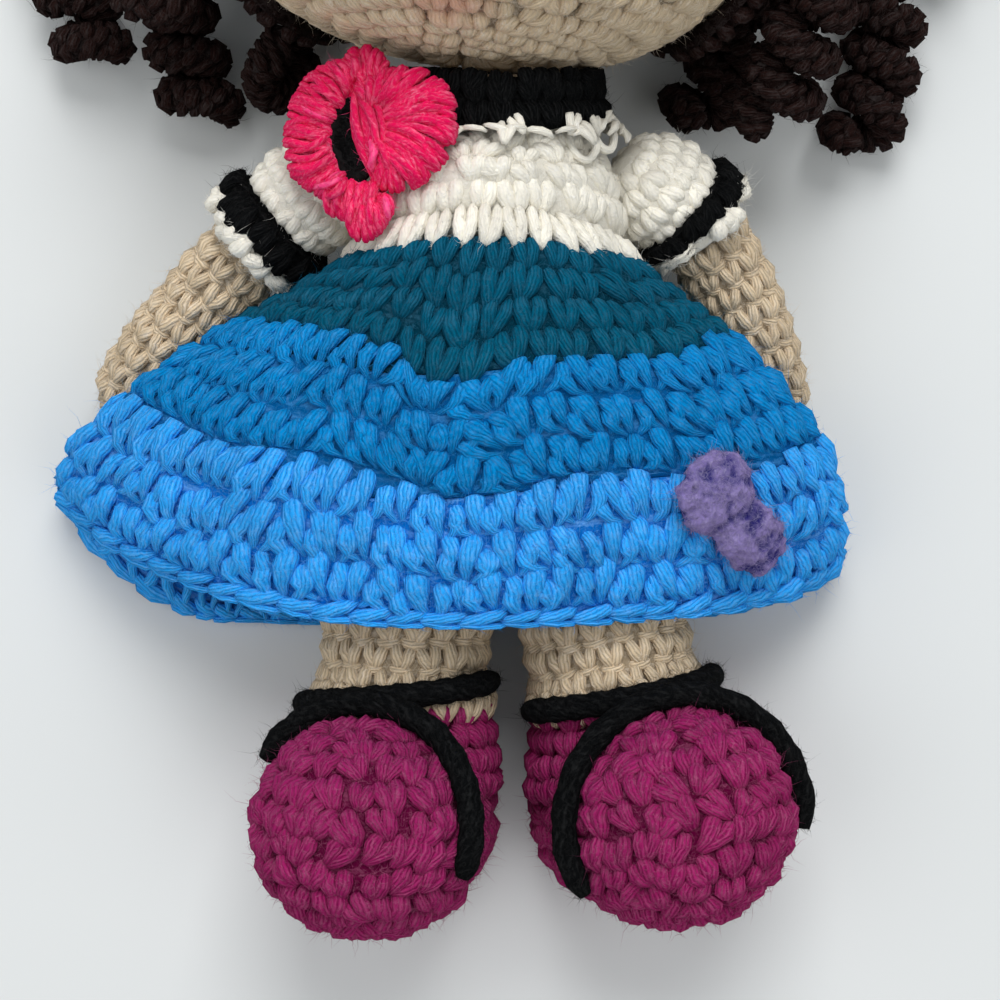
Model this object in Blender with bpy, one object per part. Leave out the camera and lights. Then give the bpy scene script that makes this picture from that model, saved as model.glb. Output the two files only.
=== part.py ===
"""A crocheted doll that lies on its back, as separate sewn and stuffed pieces.

Metres, +Z up. The doll lies on the plane z = 0 with its head toward +Y and its left hand toward +X.
The origin is on that plane, under the middle of the torso. Every piece that turns is built in the
frame of an empty that stands on its hinge: the neck, each shoulder and each hip.
"""

import math

import bmesh
import bpy
import numpy as np
from mathutils import Matrix, Vector

MM = 0.001

# Fabric and seams
BODY_WALL = 4.0 * MM  # stuffed crochet: head, torso, limbs and shoes
ARM_WALL = 3.0 * MM
CLOTHES_WALL = 1.8 * MM  # puffed sleeves
SEAM = 0.4 * MM  # clearance between two pieces that touch
SEAT_EASE = 0.6 * MM  # clearance in the torso's round seats for sleeves and legs
FLAT_DEPTH = 0.5 * MM  # how deep a rounded form is cut flat where it lies on the table

# Head
HEAD_WIDTH = 111.4 * MM
HEAD_HEIGHT = 95.0 * MM
HEAD_DEPTH = 92.0 * MM
HEAD_FULLNESS = 2.4  # 2 is an ellipsoid, more fills its corners
HEAD_TILT_DEG = -6.5
HEAD_SIDE_SHIFT = 1.0 * MM
CAP_WALL = 4.0 * MM
CAP_EASE = 0.9 * MM  # clearance between the head and the wig cap
HEAD_BACK_DEG = 56.0  # the head's rings run round this way: from straight up the head toward its back
HEAD_STEPS = 12
CAP_STEPS = 7  # of the head's rings that the wig cap covers
NECK_OPENING = 11.0 * MM  # radius of the opening under the head
NAPE_EASE = 15.5 * MM  # how far the wig cap ends from the collar

# Torso, from the neck's seam to the seat
TORSO_LENGTH = 66.0 * MM
TORSO_WIDTH = 57.0 * MM
TORSO_DEPTH = 63.0 * MM
TORSO_TOP = 16.0 * MM  # +Y of the neck's seam
TORSO_SEAT_RISE = 31.0 * MM  # height of the torso's axis above the table
NECK_BASE_RISE = 40.0 * MM  # height of the neck's seam
# share of the length down from the neck, half width, half depth, axis rise toward the neck, ring tilt
TORSO_SHARES = [
    (0.00, 0.604, 0.546, 1.00, 1.0),
    (0.06, 0.628, 0.590, 0.83, 0.9),
    (0.11, 0.680, 0.690, 0.58, 0.6),
    (0.17, 0.790, 0.880, 0.25, 0.3),
    (0.24, 0.895, 1.000, 0.00, 0.0),
    (0.33, 0.955, 0.955, 0.00, 0.0),
    (0.44, 0.965, 0.872, 0.00, 0.0),
    (0.58, 1.000, 0.862, 0.00, 0.0),
    (0.74, 0.985, 0.835, 0.00, 0.0),
    (0.86, 0.915, 0.765, 0.00, 0.0),
    (0.95, 0.740, 0.610, 0.00, 0.0),
    (0.99, 0.420, 0.340, 0.00, 0.0),
    (1.00, 0.000, 0.000, 0.00, 0.0),
]

# Neck and collar
NECK_RADIUS = 17.0 * MM
NECK_LENGTH = 5.6 * MM
CHIN_EASE = 1.2 * MM  # room for the tilted head to turn on the neck
COLLAR_TOP_WALL = 3.5 * MM
COLLAR_LOW_WALL = 2.8 * MM
COLLAR_FLARE = 3.2 * MM
COLLAR_HEIGHT = 9.2 * MM
COLLAR_ROWS_SHARE = (0, 0.35, 0.7, 1)
COLLAR_ROLL_SHARE = 0.75  # the wall's thickness at its two rolled edges

# Sleeves, cuffs and arms
SLEEVE_RADIUS = 11.5 * MM
SHOULDER_RISE = 31.5 * MM
ARM_RADIUS = 9.0 * MM
HAND_LIFT = 0.8 * MM  # the hand's clearance over the table
CUFF_RADIUS = 13.1 * MM
CUFF_HEIGHT = 6.6 * MM
CUFF_START = 4.4 * MM  # from the shoulder's pivot along the arm
CUFF_EDGE_HEIGHT = 2.6 * MM
CUFF_EDGE_RADIUS = 12.2 * MM
CUFF_EDGE_SCALLOP = 0.7 * MM
CUFF_EDGE_SCALLOPS = 12
CUFF_CORNER_SHARE = 0.3  # its rounded corner, of its wall
ARM_SHARES = [  # along the arm, radius
    (0.00, 0.90),
    (0.14, 0.98),
    (0.34, 0.97),
    (0.56, 0.97),
    (0.74, 1.02),
    (0.87, 1.04),
    (0.95, 0.80),
    (0.99, 0.42),
    (1.00, 0.00),
]

# Legs and shoes
LEG_RADIUS = 17.0 * MM
HIP_SHARE = 0.965  # where the legs meet the torso, down its length
HIP_SEAT = 2.5 * MM  # how deep the leg's round top sits in the torso
LEG_DROP = 64.0 * MM  # from the hip's pivot to the middle of the shoe
LEG_TOP_DEG = [66, 44, 22, 0]  # the rings of the leg's round top, from its small opening
LEG_ROWS_SHARE = (0.4, 1)
FOOT_LENGTH = 64.5 * MM  # heel to toe; the toes point up
FOOT_WIDTH = 45.6 * MM
FOOT_HEIGHT = 43.4 * MM
FOOT_SHARES = [  # from heel to toe, half width, half height
    (0.00, 0.00, 0.00),
    (0.03, 0.42, 0.44),
    (0.09, 0.66, 0.68),
    (0.18, 0.79, 0.82),
    (0.30, 0.83, 0.85),
    (0.44, 0.92, 0.93),
    (0.58, 1.00, 1.00),
    (0.72, 0.97, 0.97),
    (0.85, 0.80, 0.80),
    (0.94, 0.52, 0.52),
    (1.00, 0.00, 0.00),
]
STRAP_RADIUS = 2.3 * MM
STRAP_EASE = 0.6 * MM
INSTEP_SHARES = {"left": (0.64, 0.78), "right": (0.78, 0.62)}  # inner and outer end, from heel to toe
INSTEP_DEG = {"left": (-26, 198), "right": (-18, 152)}  # round the foot from its inner side
ANKLE_STRAP_ABOVE = 5.2 * MM  # the ankle strap over the instep strap
ANKLE_STRAP_DEG = (22, 186)  # round the leg from its inner side

# Skirt
SKIRT_THICKNESS = 2.8 * MM
SKIRT_WAIST_Y = -12.8 * MM
SKIRT_WAIST_DIP = 4.6 * MM  # how much lower the waist runs at the sides
TIER_GAP = 1.1 * MM  # between two tiers of the skirt
SKIRT_HEM_Y = -86.0 * MM
SKIRT_BACK_HEM_Y = -88.0 * MM
SKIRT_BACK_SWAG = 7.0 * MM  # how far the back layer shows under the right side of the hem
SKIRT_WAIST_EASE = 0.5 * MM
SKIRT_FRONT_RISE = 46.5 * MM  # height of the front hem over the legs
SKIRT_FOLD = 2.6 * MM  # half height of the fold at each side
SKIRT_TIER_SHARES = [  # where each tier starts and ends, as shares of the skirt's length
    ("skirt_top_tier", "teal_yarn", 0.0, 0.29),
    ("skirt_middle_tier", "mid_blue_yarn", 0.29, 0.61),
    ("skirt_hem_tier", "light_blue_yarn", 0.61, 1.0),
]
TIER_STEPS = 3
SKIRT_COLUMNS = 36
TIER_DIP_SHARE = 0.06  # how much lower a tier ends near the middle of the front
TIER_DIP_DEG = 98.0  # where, round the skirt from its left fold
SKIRT_TIP_SIDE = {"left": 72.0 * MM, "right": -90.0 * MM}
SKIRT_TIP_Y = {"left": -74.6 * MM, "right": -60.0 * MM}
SKIRT_TIP_RISE = 4.2 * MM
SKIRT_FLARE_SHARE = {"left": 2.2, "right": 1.55}  # how early the skirt widens on its way down
SKIRT_HEM_CURVE_SHARE = {"left": (0.6, 0.6), "right": (1.4, 1.35)}  # front, back
SKIRT_FRONT_CURVE_SHARE = {"left": 1.3, "right": 2.0}
SKIRT_DROOP_SHARE = 4.0  # how late the side folds fall to the table
SKIRT_SETTLE_SHARE = 0.3  # the skirt's first part, where it leaves the torso
SKIRT_TUCK_SHARES = (0.48, 0.76)  # where the back layer falls past the arms to the table
SKIRT_RIPPLE = 1.4 * MM
SKIRT_RIPPLES = 5
FOLD_CROWDING_SHARE = 0.22  # how much closer together the skirt's columns stand at its folds

# Flower
FLOWER_SPAN = 36.0 * MM
FLOWER_THICKNESS = 6.4 * MM
FLOWER_SIDE_SHARE = -0.91  # its middle, as a share of the torso's half width
FLOWER_UP = 5.5 * MM  # its middle, along +Y from the torso's middle
FLOWER_LEAN_DEG = -24.0
# lobe, middle across and up, half length, half width, half thickness, turn; shares of the flower's span
FLOWER_SHARES = [
    ("flower_petal_right", (0.300, 0.070), 0.262, 0.290, 0.50, 12),
    ("flower_petal_top", (0.128, 0.400), 0.105, 0.085, 0.42, 20),
    ("flower_petal_bottom", (-0.005, -0.310), 0.135, 0.105, 0.42, 75),
    ("flower_petal_tip", (0.090, -0.528), 0.110, 0.100, 0.38, 100),
]
FLOWER_CRESCENT_SHARES = [  # along the crescent, half width, half thickness
    (0.00, 0.00, 0.00),
    (0.06, 0.55, 0.55),
    (0.22, 0.92, 0.90),
    (0.50, 1.00, 1.00),
    (0.78, 0.90, 0.90),
    (0.94, 0.55, 0.55),
    (1.00, 0.00, 0.00),
]
FLOWER_CRESCENT_POINTS_SHARE = [(94, 0.403), (138, 0.507), (192, 0.377), (245, 0.247)]  # degrees, reach
FLOWER_CRESCENT_HALF_SHARE = (0.135, 0.48)  # of the span, of the thickness
FLOWER_CENTRE_SHARE = (-0.042, 0.030)
FLOWER_CENTRE_HALF_SHARE = (0.068, 0.190, 0.40)  # of the span twice, of the thickness
FLOWER_CENTRE_DEG = 12
FLOWER_SINK_SHARE = 0.42  # how far the flower follows the chest's fall toward the shoulder

# Felted bow
BOW_LENGTH = 30.0 * MM
BOW_WIDTH = 17.0 * MM
BOW_THICKNESS = 5.6 * MM
BOW_EASE = 1.9 * MM  # the bow's lift over the curved skirt
BOW_ANGLE_SHARES = (0.205, 0.285)  # its upper and lower end round the skirt, of the front's half turn
BOW_LENGTH_SHARES = (0.55, 0.88)  # its upper and lower end down the skirt
BOW_SHARES = [  # along the bow, half width, half thickness
    (0.00, 0.00, 0.00),
    (0.05, 0.62, 0.60),
    (0.18, 0.95, 0.95),
    (0.34, 1.00, 1.00),
    (0.50, 0.66, 0.80),
    (0.64, 0.74, 0.86),
    (0.82, 0.80, 0.80),
    (0.95, 0.50, 0.50),
    (1.00, 0.00, 0.00),
]

# Eyes
EYE_RADIUS = 4.8 * MM
EYE_BULGE = 2.6 * MM
EYE_POST_RADIUS = 1.8 * MM
EYE_POST_TAIL = 2.0 * MM
WASHER_RADIUS = 6.0 * MM
WASHER_THICKNESS = 1.2 * MM
EYE_SIDE_SHARE = 0.36
EYE_UP_SHARE = -0.10

# Ringlets: crocheted corkscrews
RINGLET_TUBE = 3.7 * MM
RINGLET_RADIUS = 4.9 * MM
RINGLET_PITCH = 9.6 * MM
RINGLET_FIRST_EXTRA = 3.0 * MM  # the first curl's wider pitch
RINGLET_LIFT = 0.6 * MM
POINTS_PER_CURL = 8
# name, root direction on the head, then the middle and the end of its axis from the head's middle:
# shares of the head's half width in X and Y, and of the head's height over the table in Z
RINGLET_SHARES = [
    ("ringlet_left_front", (0.96, -0.22, 0.06), (1.12, -0.62, 0.94), (1.00, -1.01, 0.50)),
    ("ringlet_left_side", (0.95, 0.06, -0.34), (1.66, -0.52, 0.14), (1.30, -1.10, 0.18)),
    ("ringlet_left_back", (0.84, 0.50, -0.40), (1.86, 0.30, 0.14), (1.70, -0.50, 0.18)),
    ("ringlet_left_nape", (0.74, -0.46, -0.50), (0.90, -0.70, 0.14), (0.68, -1.02, 0.18)),
    ("ringlet_right_front", (-0.96, -0.04, 0.06), (-1.30, -0.30, 0.95), (-1.18, -0.66, 0.62)),
    ("ringlet_right_side", (-0.97, 0.00, -0.26), (-1.24, -0.46, 0.14), (-1.04, -1.07, 0.18)),
    ("ringlet_right_back", (-0.76, 0.60, -0.36), (-1.96, 0.26, 0.14), (-1.46, -0.76, 0.18)),
    ("ringlet_right_nape", (-0.66, -0.66, -0.45), (-0.88, -0.66, 0.14), (-0.70, -0.92, 0.18)),
]

# Sides: +1 is the doll's left, toward +X
SIDES = {"left": 1, "right": -1}
SHOULDER_SEAT = {"left": 3.4 * MM, "right": 1.0 * MM}
SHOULDER_Y = {"left": -0.6 * MM, "right": -1.8 * MM}
ARM_REACH = 56.0 * MM
ARM_BEND_SHARES = {"left": (0.35, -0.25), "right": (0.50, -0.40)}  # outward and along Y
ARM_END_SHARES = {"left": (0.43, -0.86), "right": (0.70, -0.78)}
ARM_BEND_RISE = 23.0 * MM
HIP_SIDE = {"left": 19.0 * MM, "right": 16.0 * MM}
LEG_SPLAY_DEG = {"left": 9.5, "right": 2.5}
TOE_OUT_DEG = {"left": 25.0, "right": 15.0}

# Worked out
HALF_HEAD = Vector((HEAD_WIDTH, HEAD_HEIGHT, HEAD_DEPTH)) / 2
HEAD_RISE = HALF_HEAD.z + CAP_EASE + CAP_WALL - FLAT_DEPTH
NECK_BASE = Vector((HEAD_SIDE_SHIFT, TORSO_TOP, NECK_BASE_RISE))
HEAD_TURN = Matrix.Rotation(math.radians(HEAD_TILT_DEG), 3, "Z")
LEG_RISE = SKIRT_THICKNESS + LEG_RADIUS + 2 * SEAM
FLOOR = 0.0
ROUND_SIDES = 20
LIMB_SIDES = 16
ARM_SIDES = 12

YARNS = {  # red, green, blue as seen, then roughness
    "skin_yarn": (0.80, 0.69, 0.54, 0.92),
    "white_yarn": (0.92, 0.89, 0.85, 0.92),
    "black_yarn": (0.05, 0.055, 0.06, 0.92),
    "teal_yarn": (0.02, 0.37, 0.46, 0.92),
    "mid_blue_yarn": (0.02, 0.48, 0.77, 0.92),
    "light_blue_yarn": (0.24, 0.59, 0.92, 0.92),
    "magenta_yarn": (0.58, 0.11, 0.36, 0.92),
    "pink_yarn": (0.92, 0.18, 0.39, 0.92),
    "purple_felt": (0.47, 0.36, 0.55, 0.95),
    "hair_yarn": (0.20, 0.11, 0.11, 0.92),
    "stuffing_fibre": (0.93, 0.93, 0.91, 0.95),
    "eye_plastic": (0.02, 0.02, 0.02, 0.15),
    "washer_plastic": (0.90, 0.90, 0.88, 0.40),
}


def linear(shade):
    """A seen colour value as a linear one."""
    return shade / 12.92 if shade <= 0.04045 else ((shade + 0.055) / 1.055) ** 2.4


def make_materials():
    made = {}
    for name, (red, green, blue, roughness) in YARNS.items():
        material = bpy.data.materials.new(name)
        material.use_nodes = True
        shader = material.node_tree.nodes["Principled BSDF"]
        shader.inputs["Base Color"].default_value = (linear(red), linear(green), linear(blue), 1)
        shader.inputs["Roughness"].default_value = roughness
        shader.inputs["Metallic"].default_value = 0
        made[name] = material
    return made


# Building blocks


def empty_at(name, place, turn=None):
    """An empty on a hinge, which carries the pieces that move with it."""
    carrier = bpy.data.objects.new(name, None)
    carrier.matrix_world = Matrix.Translation(place) @ (turn or Matrix.Identity(4))
    bpy.context.scene.collection.objects.link(carrier)
    return carrier


def add_piece(name, data, material, carrier=None):
    piece = bpy.data.objects.new(name, data)
    bpy.context.scene.collection.objects.link(piece)
    piece.parent = carrier
    if material:
        data.materials.append(material)
    return piece


def skinned(name, rings, material, carrier=None, looped=False):
    """One closed body over a run of rings. A ring of one point is a pole; looped rings make a tube wall."""
    work = bmesh.new()
    rows = [[work.verts.new(point) for point in ring] for ring in rings]
    pairs = list(zip(rows, rows[1:]))
    if looped:
        pairs.append((rows[-1], rows[0]))
    for first, second in pairs:
        count = max(len(first), len(second))
        for i in range(count):
            j = (i + 1) % count
            corners = [first[i % len(first)], first[j % len(first)], second[j % len(second)], second[i % len(second)]]
            work.faces.new(dict.fromkeys(corners))
    if not looped:
        for row in (rows[0], rows[-1]):
            if len(row) > 2:
                work.faces.new(row)
    bmesh.ops.recalc_face_normals(work, faces=work.faces)
    mesh = bpy.data.meshes.new(name)
    work.to_mesh(mesh)
    work.free()
    mesh.shade_smooth()
    return add_piece(name, mesh, material, carrier)


def shell(name, outer, inner, material, carrier=None):
    """A wall between an outer and an inner run of rings, open at each end that isn't a pole."""
    if len(outer[-1]) == 1:
        outer, inner = outer[::-1], inner[::-1]
    return skinned(name, outer + inner[::-1], material, carrier, looped=len(outer[0]) > 1)


def nested_shells(name, outer, inner, carrier=None):
    """A wall all round a hollow. A bore cut through it later opens the hollow."""
    parts = [skinned(name, outer, None, carrier), skinned(name + "_hollow", inner, None, carrier)]
    work = bmesh.new()
    for part, inward in zip(parts, (False, True)):
        before = len(work.faces)
        work.from_mesh(part.data)
        work.faces.ensure_lookup_table()
        if inward:
            bmesh.ops.reverse_faces(work, faces=work.faces[before:])
    work.to_mesh(parts[0].data)
    work.free()
    bpy.data.objects.remove(parts[1])
    return parts[0]


def coarser(rings):
    """Every second point of every ring, for a filling that stays inside its wall's facets."""
    return [ring[::2] for ring in rings]


def section(centre, across, up, half_across, half_up, sides):
    """One rounded section, or its middle where the form closes."""
    if half_across <= 0 or half_up <= 0:
        return [centre]
    turns = [math.tau * i / sides for i in range(sides)]
    return [centre + across * (half_across * math.cos(a)) + up * (half_up * math.sin(a)) for a in turns]


def bezier(controls, share):
    """A point of the curve that a few control points draw."""
    points = list(controls)
    while len(points) > 1:
        points = [a.lerp(b, share) for a, b in zip(points, points[1:])]
    return points[0]


def swept(controls, table, half_across, half_up, inset, sides, closed_start=False):
    """Rings along a curve. The inset shrinks the form into its own wall, also at its closed ends."""
    steps = [bezier(controls, i / 64) for i in range(65)]
    length = sum((b - a).length for a, b in zip(steps, steps[1:]))
    start = inset / length if closed_start else 0.0
    reach = 1 - inset / length - start
    rings = []
    for row in table:
        share = start + row[0] * reach
        low, high = max(share - 0.01, 0), min(share + 0.01, 1)
        along = (bezier(controls, high) - bezier(controls, low)).normalized()
        up = Vector((0, 0, 1)) if abs(along.z) < 0.8 else Vector((0, 1, 0))
        across = along.cross(up).normalized()
        up = across.cross(along)
        rings.append(
            section(
                bezier(controls, share), across, up, row[1] * (half_across - inset), row[-1] * (half_up - inset), sides
            )
        )
    return rings


def hidden_cutter(piece):
    piece.hide_render = True
    piece.display_type = "WIRE"
    return piece


def ball_cutter(name, radius, place, carrier=None):
    mesh = bpy.data.meshes.new(name)
    work = bmesh.new()
    bmesh.ops.create_uvsphere(work, u_segments=24, v_segments=16, radius=radius)
    work.to_mesh(mesh)
    work.free()
    piece = add_piece(name, mesh, None, carrier)
    piece.location = place
    return hidden_cutter(piece)


def rod_cutter(name, radius, start, end, carrier=None):
    """A round rod between two points, which cuts a bore."""
    along = (end - start).normalized()
    across = along.orthogonal().normalized()
    up = along.cross(across)
    rings = [section(p, across, up, radius, radius, ROUND_SIDES) for p in (start, end)]
    return hidden_cutter(skinned(name, rings, None, carrier))


def cut(piece, cutter):
    step = piece.modifiers.new(cutter.name, "BOOLEAN")
    step.operation = "DIFFERENCE"
    step.solver = "EXACT"
    step.object = cutter


def table_cutter(name, centre, width):
    """A block whose top is the table, under one form that lies on it."""
    mesh = bpy.data.meshes.new(name)
    work = bmesh.new()
    bmesh.ops.create_cube(work, size=width)
    work.to_mesh(mesh)
    work.free()
    block = add_piece(name, mesh, None)
    block.location = (centre.x, centre.y, FLOOR - width / 2)
    return hidden_cutter(block)


def cord(name, points, radius, material, carrier):
    curve = bpy.data.curves.new(name, "CURVE")
    curve.dimensions = "3D"
    curve.bevel_depth = radius
    curve.bevel_resolution = 1
    curve.use_fill_caps = True
    run = curve.splines.new("POLY")
    run.points.add(len(points) - 1)
    for spot, point in zip(run.points, points):
        spot.co = (*point, 1)
    return add_piece(name, curve, material, carrier)


# Head


def head_point(direction, outset):
    """The head's surface in a direction from its middle, grown by an outset."""
    share = sum(abs(d) ** HEAD_FULLNESS for d in direction) ** (-1 / HEAD_FULLNESS)
    half = HALF_HEAD + Vector((outset,) * 3)
    return Vector(d * share * h for d, h in zip(direction, half))


def head_normal(direction, outset):
    half = HALF_HEAD + Vector((outset,) * 3)
    place = head_point(direction, outset)
    slope = (math.copysign(abs(p / h) ** (HEAD_FULLNESS - 1), p) / h for p, h in zip(place, half))
    return Vector(slope).normalized()


def head_rings(outset, steps):
    """The first rings of the head's form from the back. Head, filling and wig cap share their facets' ways."""
    back = math.radians(HEAD_BACK_DEG)
    pole, across = Vector((0, math.cos(back), -math.sin(back))), Vector((1, 0, 0))
    up = pole.cross(across)
    rings = []
    for i in range(steps + 1):
        angle = math.pi * i / HEAD_STEPS
        if i in (0, HEAD_STEPS):
            rings.append([head_point(pole * math.cos(angle), outset)])
            continue
        turns = [math.tau * k / ROUND_SIDES for k in range(ROUND_SIDES)]
        spokes = [pole * math.cos(angle) + (across * math.cos(t) + up * math.sin(t)) * math.sin(angle) for t in turns]
        rings.append([head_point(spoke, outset) for spoke in spokes])
    return rings


def head_middle():
    """The head stands on the neck's seam, and its back rests on the table through the wig cap."""
    rise = HEAD_RISE - NECK_BASE_RISE
    reach = NECK_LENGTH + HALF_HEAD.y + CHIN_EASE
    return NECK_BASE + Vector((0, math.sqrt(reach**2 - rise**2), rise))


def make_head(materials):
    middle = head_middle()
    carrier = empty_at("head_carrier", middle, HEAD_TURN.to_4x4())
    head = nested_shells("head", head_rings(0, HEAD_STEPS), head_rings(-BODY_WALL, HEAD_STEPS), carrier)
    head.data.materials.append(materials["skin_yarn"])
    down = HEAD_TURN.inverted() @ (NECK_BASE - middle)
    cut(head, rod_cutter("neck_bore", NECK_OPENING, down * 0.5, down, carrier))
    filling = coarser(head_rings(-BODY_WALL - SEAM, HEAD_STEPS))
    stuffing = skinned("head_stuffing", filling, materials["stuffing_fibre"], carrier)
    cap_inner = head_rings(CAP_EASE, CAP_STEPS)
    cap_outer = head_rings(CAP_EASE + CAP_WALL, CAP_STEPS)
    cap = shell("wig_cap", cap_outer, cap_inner, materials["hair_yarn"], carrier)
    cut(cap, table_cutter("cap_table", middle, HEAD_DEPTH))
    nape = NECK_RADIUS + COLLAR_TOP_WALL + COLLAR_FLARE + NAPE_EASE
    cut(cap, rod_cutter("nape_notch", nape, down * 0.5, down * 1.5, carrier))
    for side, sign in SIDES.items():
        make_eye(side, sign, head, stuffing, carrier, materials)
    for name, root, bend, end in RINGLET_SHARES:
        make_ringlet(name, root, bend, end, middle, carrier, materials)


def make_eye(side, sign, head, stuffing, carrier, materials):
    """A domed safety eye whose post goes through the head's wall into a washer."""
    sideways, upward = sign * EYE_SIDE_SHARE, EYE_UP_SHARE
    way = Vector((sideways, upward, math.sqrt(1 - sideways**2 - upward**2)))
    seat, out = head_point(way, 0), head_normal(way, 0)
    across = out.orthogonal().normalized()
    up = out.cross(across)
    lift = SEAM + EYE_RADIUS**2 / HEAD_WIDTH  # over the head's curve
    dome = [
        section(
            seat + out * (lift + EYE_BULGE * math.sin(a)),
            across,
            up,
            EYE_RADIUS * math.cos(a),
            EYE_RADIUS * math.cos(a),
            ARM_SIDES + 4,
        )
        for a in (0, math.pi / 6, math.pi / 3)
    ]
    tail = BODY_WALL + WASHER_THICKNESS + EYE_POST_TAIL + SEAM
    post = [
        section(seat + out * h, across, up, EYE_POST_RADIUS, EYE_POST_RADIUS, ARM_SIDES + 4) for h in (-tail, lift)
    ]
    skinned(
        f"eye_{side}", post + dome + [[seat + out * (lift + EYE_BULGE)]], materials["eye_plastic"], carrier
    )
    bore = rod_cutter(
        f"eye_bore_{side}", EYE_POST_RADIUS + SEAM, seat - out * tail * 2, seat + out * EYE_RADIUS, carrier
    )
    cut(head, bore)
    washer_face = -BODY_WALL - 3 * SEAM - WASHER_RADIUS**2 / HEAD_WIDTH
    heights = (washer_face, washer_face - WASHER_THICKNESS)
    wide = [section(seat + out * h, across, up, WASHER_RADIUS, WASHER_RADIUS, ARM_SIDES + 4) for h in heights]
    bored = EYE_POST_RADIUS + SEAM
    narrow = [section(seat + out * h, across, up, bored, bored, ARM_SIDES + 4) for h in heights]
    shell(f"eye_washer_{side}", wide, narrow, materials["washer_plastic"], carrier)
    pocket = rod_cutter(
        f"washer_pocket_{side}",
        WASHER_RADIUS + SEAM,
        seat - out * (tail + 2 * SEAM),
        seat + out * EYE_RADIUS,
        carrier,
    )
    cut(stuffing, pocket)


def make_ringlet(name, root, bend, end, middle, carrier, materials):
    """A corkscrew whose first end stands square on the wig cap and whose axis then falls to the table."""
    outset = CAP_EASE + CAP_WALL
    root = HEAD_TURN.inverted() @ Vector(root).normalized()
    base = middle + HEAD_TURN @ head_point(root, outset)
    out = HEAD_TURN @ head_normal(root, outset)
    scale = Vector((HALF_HEAD.x, HALF_HEAD.x, HEAD_RISE))
    ground = Vector((middle.x, middle.y, FLOOR))
    bend, end = (ground + Vector(b * s for b, s in zip(place, scale)) for place in (bend, end))
    lead = RINGLET_RADIUS + RINGLET_TUBE + 2 * SEAM
    away = (bend - base).normalized()
    side = away.cross(out).normalized()
    start = base + out * (SEAM + lead) - side * RINGLET_RADIUS
    lowest = RINGLET_RADIUS + RINGLET_TUBE + RINGLET_LIFT
    axis = [bezier((start, bend, end), i / 96) for i in range(97)]
    axis = [Vector((p.x, p.y, max(p.z, lowest))) for p in axis]
    lengths = np.concatenate([[0], np.cumsum([(b - a).length for a, b in zip(axis, axis[1:])])])
    turns = int((lengths[-1] - RINGLET_FIRST_EXTRA) / RINGLET_PITCH)
    points = [base + out * SEAM, base + out * (SEAM + lead / 2)]
    push = out
    for step in range(turns * POINTS_PER_CURL + 1):
        turn = step / POINTS_PER_CURL
        reach = RINGLET_PITCH * turn + RINGLET_FIRST_EXTRA * min(turn, 1)
        k = min(int(np.searchsorted(lengths, reach, side="right")), len(axis) - 1)
        low = axis[k - 1].lerp(axis[k], (reach - lengths[k - 1]) / (lengths[k] - lengths[k - 1]))
        along = (axis[min(k + 1, len(axis) - 1)] - axis[max(k - 2, 0)]).normalized()
        push = (push - along * push.dot(along)).normalized()
        swing = along.cross(push)
        angle = math.tau * turn
        points.append(low + (swing * math.cos(angle) + push * math.sin(angle)) * RINGLET_RADIUS)
    print_least_gap(name, points)
    place = Matrix.Translation(middle) @ HEAD_TURN.to_4x4()
    local = [place.inverted() @ p for p in points]
    cord(name, local, RINGLET_TUBE, materials["hair_yarn"], carrier)


def print_least_gap(name, points):
    """The least gap of a corkscrew to itself, between places over half a turn apart."""
    fine = np.array([a.lerp(b, t / 4) for a, b in zip(points, points[1:]) for t in range(4)])
    spacing = np.linalg.norm(np.diff(fine, axis=0), axis=1)
    travel = np.concatenate([[0], np.cumsum(spacing)])
    apart = np.abs(travel[:, None] - travel[None, :]) > math.pi * RINGLET_RADIUS
    gaps = np.linalg.norm(fine[:, None] - fine[None, :], axis=2)[apart]
    print(f"{name}: least gap to itself {(gaps.min() - 2 * RINGLET_TUBE) / MM:.2f} mm")


# Torso, neck and collar


def neck_way():
    return (head_middle() - NECK_BASE).normalized()


def torso_rings(inset, sides, rows=None):
    """The torso's rings from the neck's seam to the seat."""
    lean = math.atan2(neck_way().z, neck_way().y)
    reach = TORSO_LENGTH - inset
    rings = []
    for along, wide, deep, rise, tilt in rows or TORSO_SHARES:
        centre = Vector(
            (
                NECK_BASE.x * rise,
                TORSO_TOP - along * reach,
                TORSO_SEAT_RISE + (NECK_BASE_RISE - TORSO_SEAT_RISE) * rise,
            )
        )
        up = Vector((0, -math.sin(lean * tilt), math.cos(lean * tilt)))
        half_wide, half_deep = wide * (TORSO_WIDTH / 2 - inset), deep * (TORSO_DEPTH / 2 - inset)
        rings.append(section(centre, Vector((1, 0, 0)), up, half_wide, half_deep, sides))
    return rings


def torso_half(share, column):
    """A half size of the torso at a share of its length, read between the rows of its table."""
    along = [row[0] for row in TORSO_SHARES]
    half = (TORSO_WIDTH if column == 1 else TORSO_DEPTH) / 2
    return half * float(np.interp(share, along, [row[column] for row in TORSO_SHARES]))


def shoulder_place(side):
    """The shoulder's pivot is the middle of the puffed sleeve, which sits a little into the torso."""
    share = (TORSO_TOP - SHOULDER_Y[side]) / TORSO_LENGTH
    sideways = torso_half(share, 1) + SLEEVE_RADIUS - SHOULDER_SEAT[side]
    return Vector((SIDES[side] * sideways, SHOULDER_Y[side], SHOULDER_RISE))


def hip_place(side):
    seat = TORSO_TOP - TORSO_LENGTH * HIP_SHARE
    return Vector((SIDES[side] * HIP_SIDE[side], seat + HIP_SEAT - LEG_RADIUS, LEG_RISE))


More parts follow.
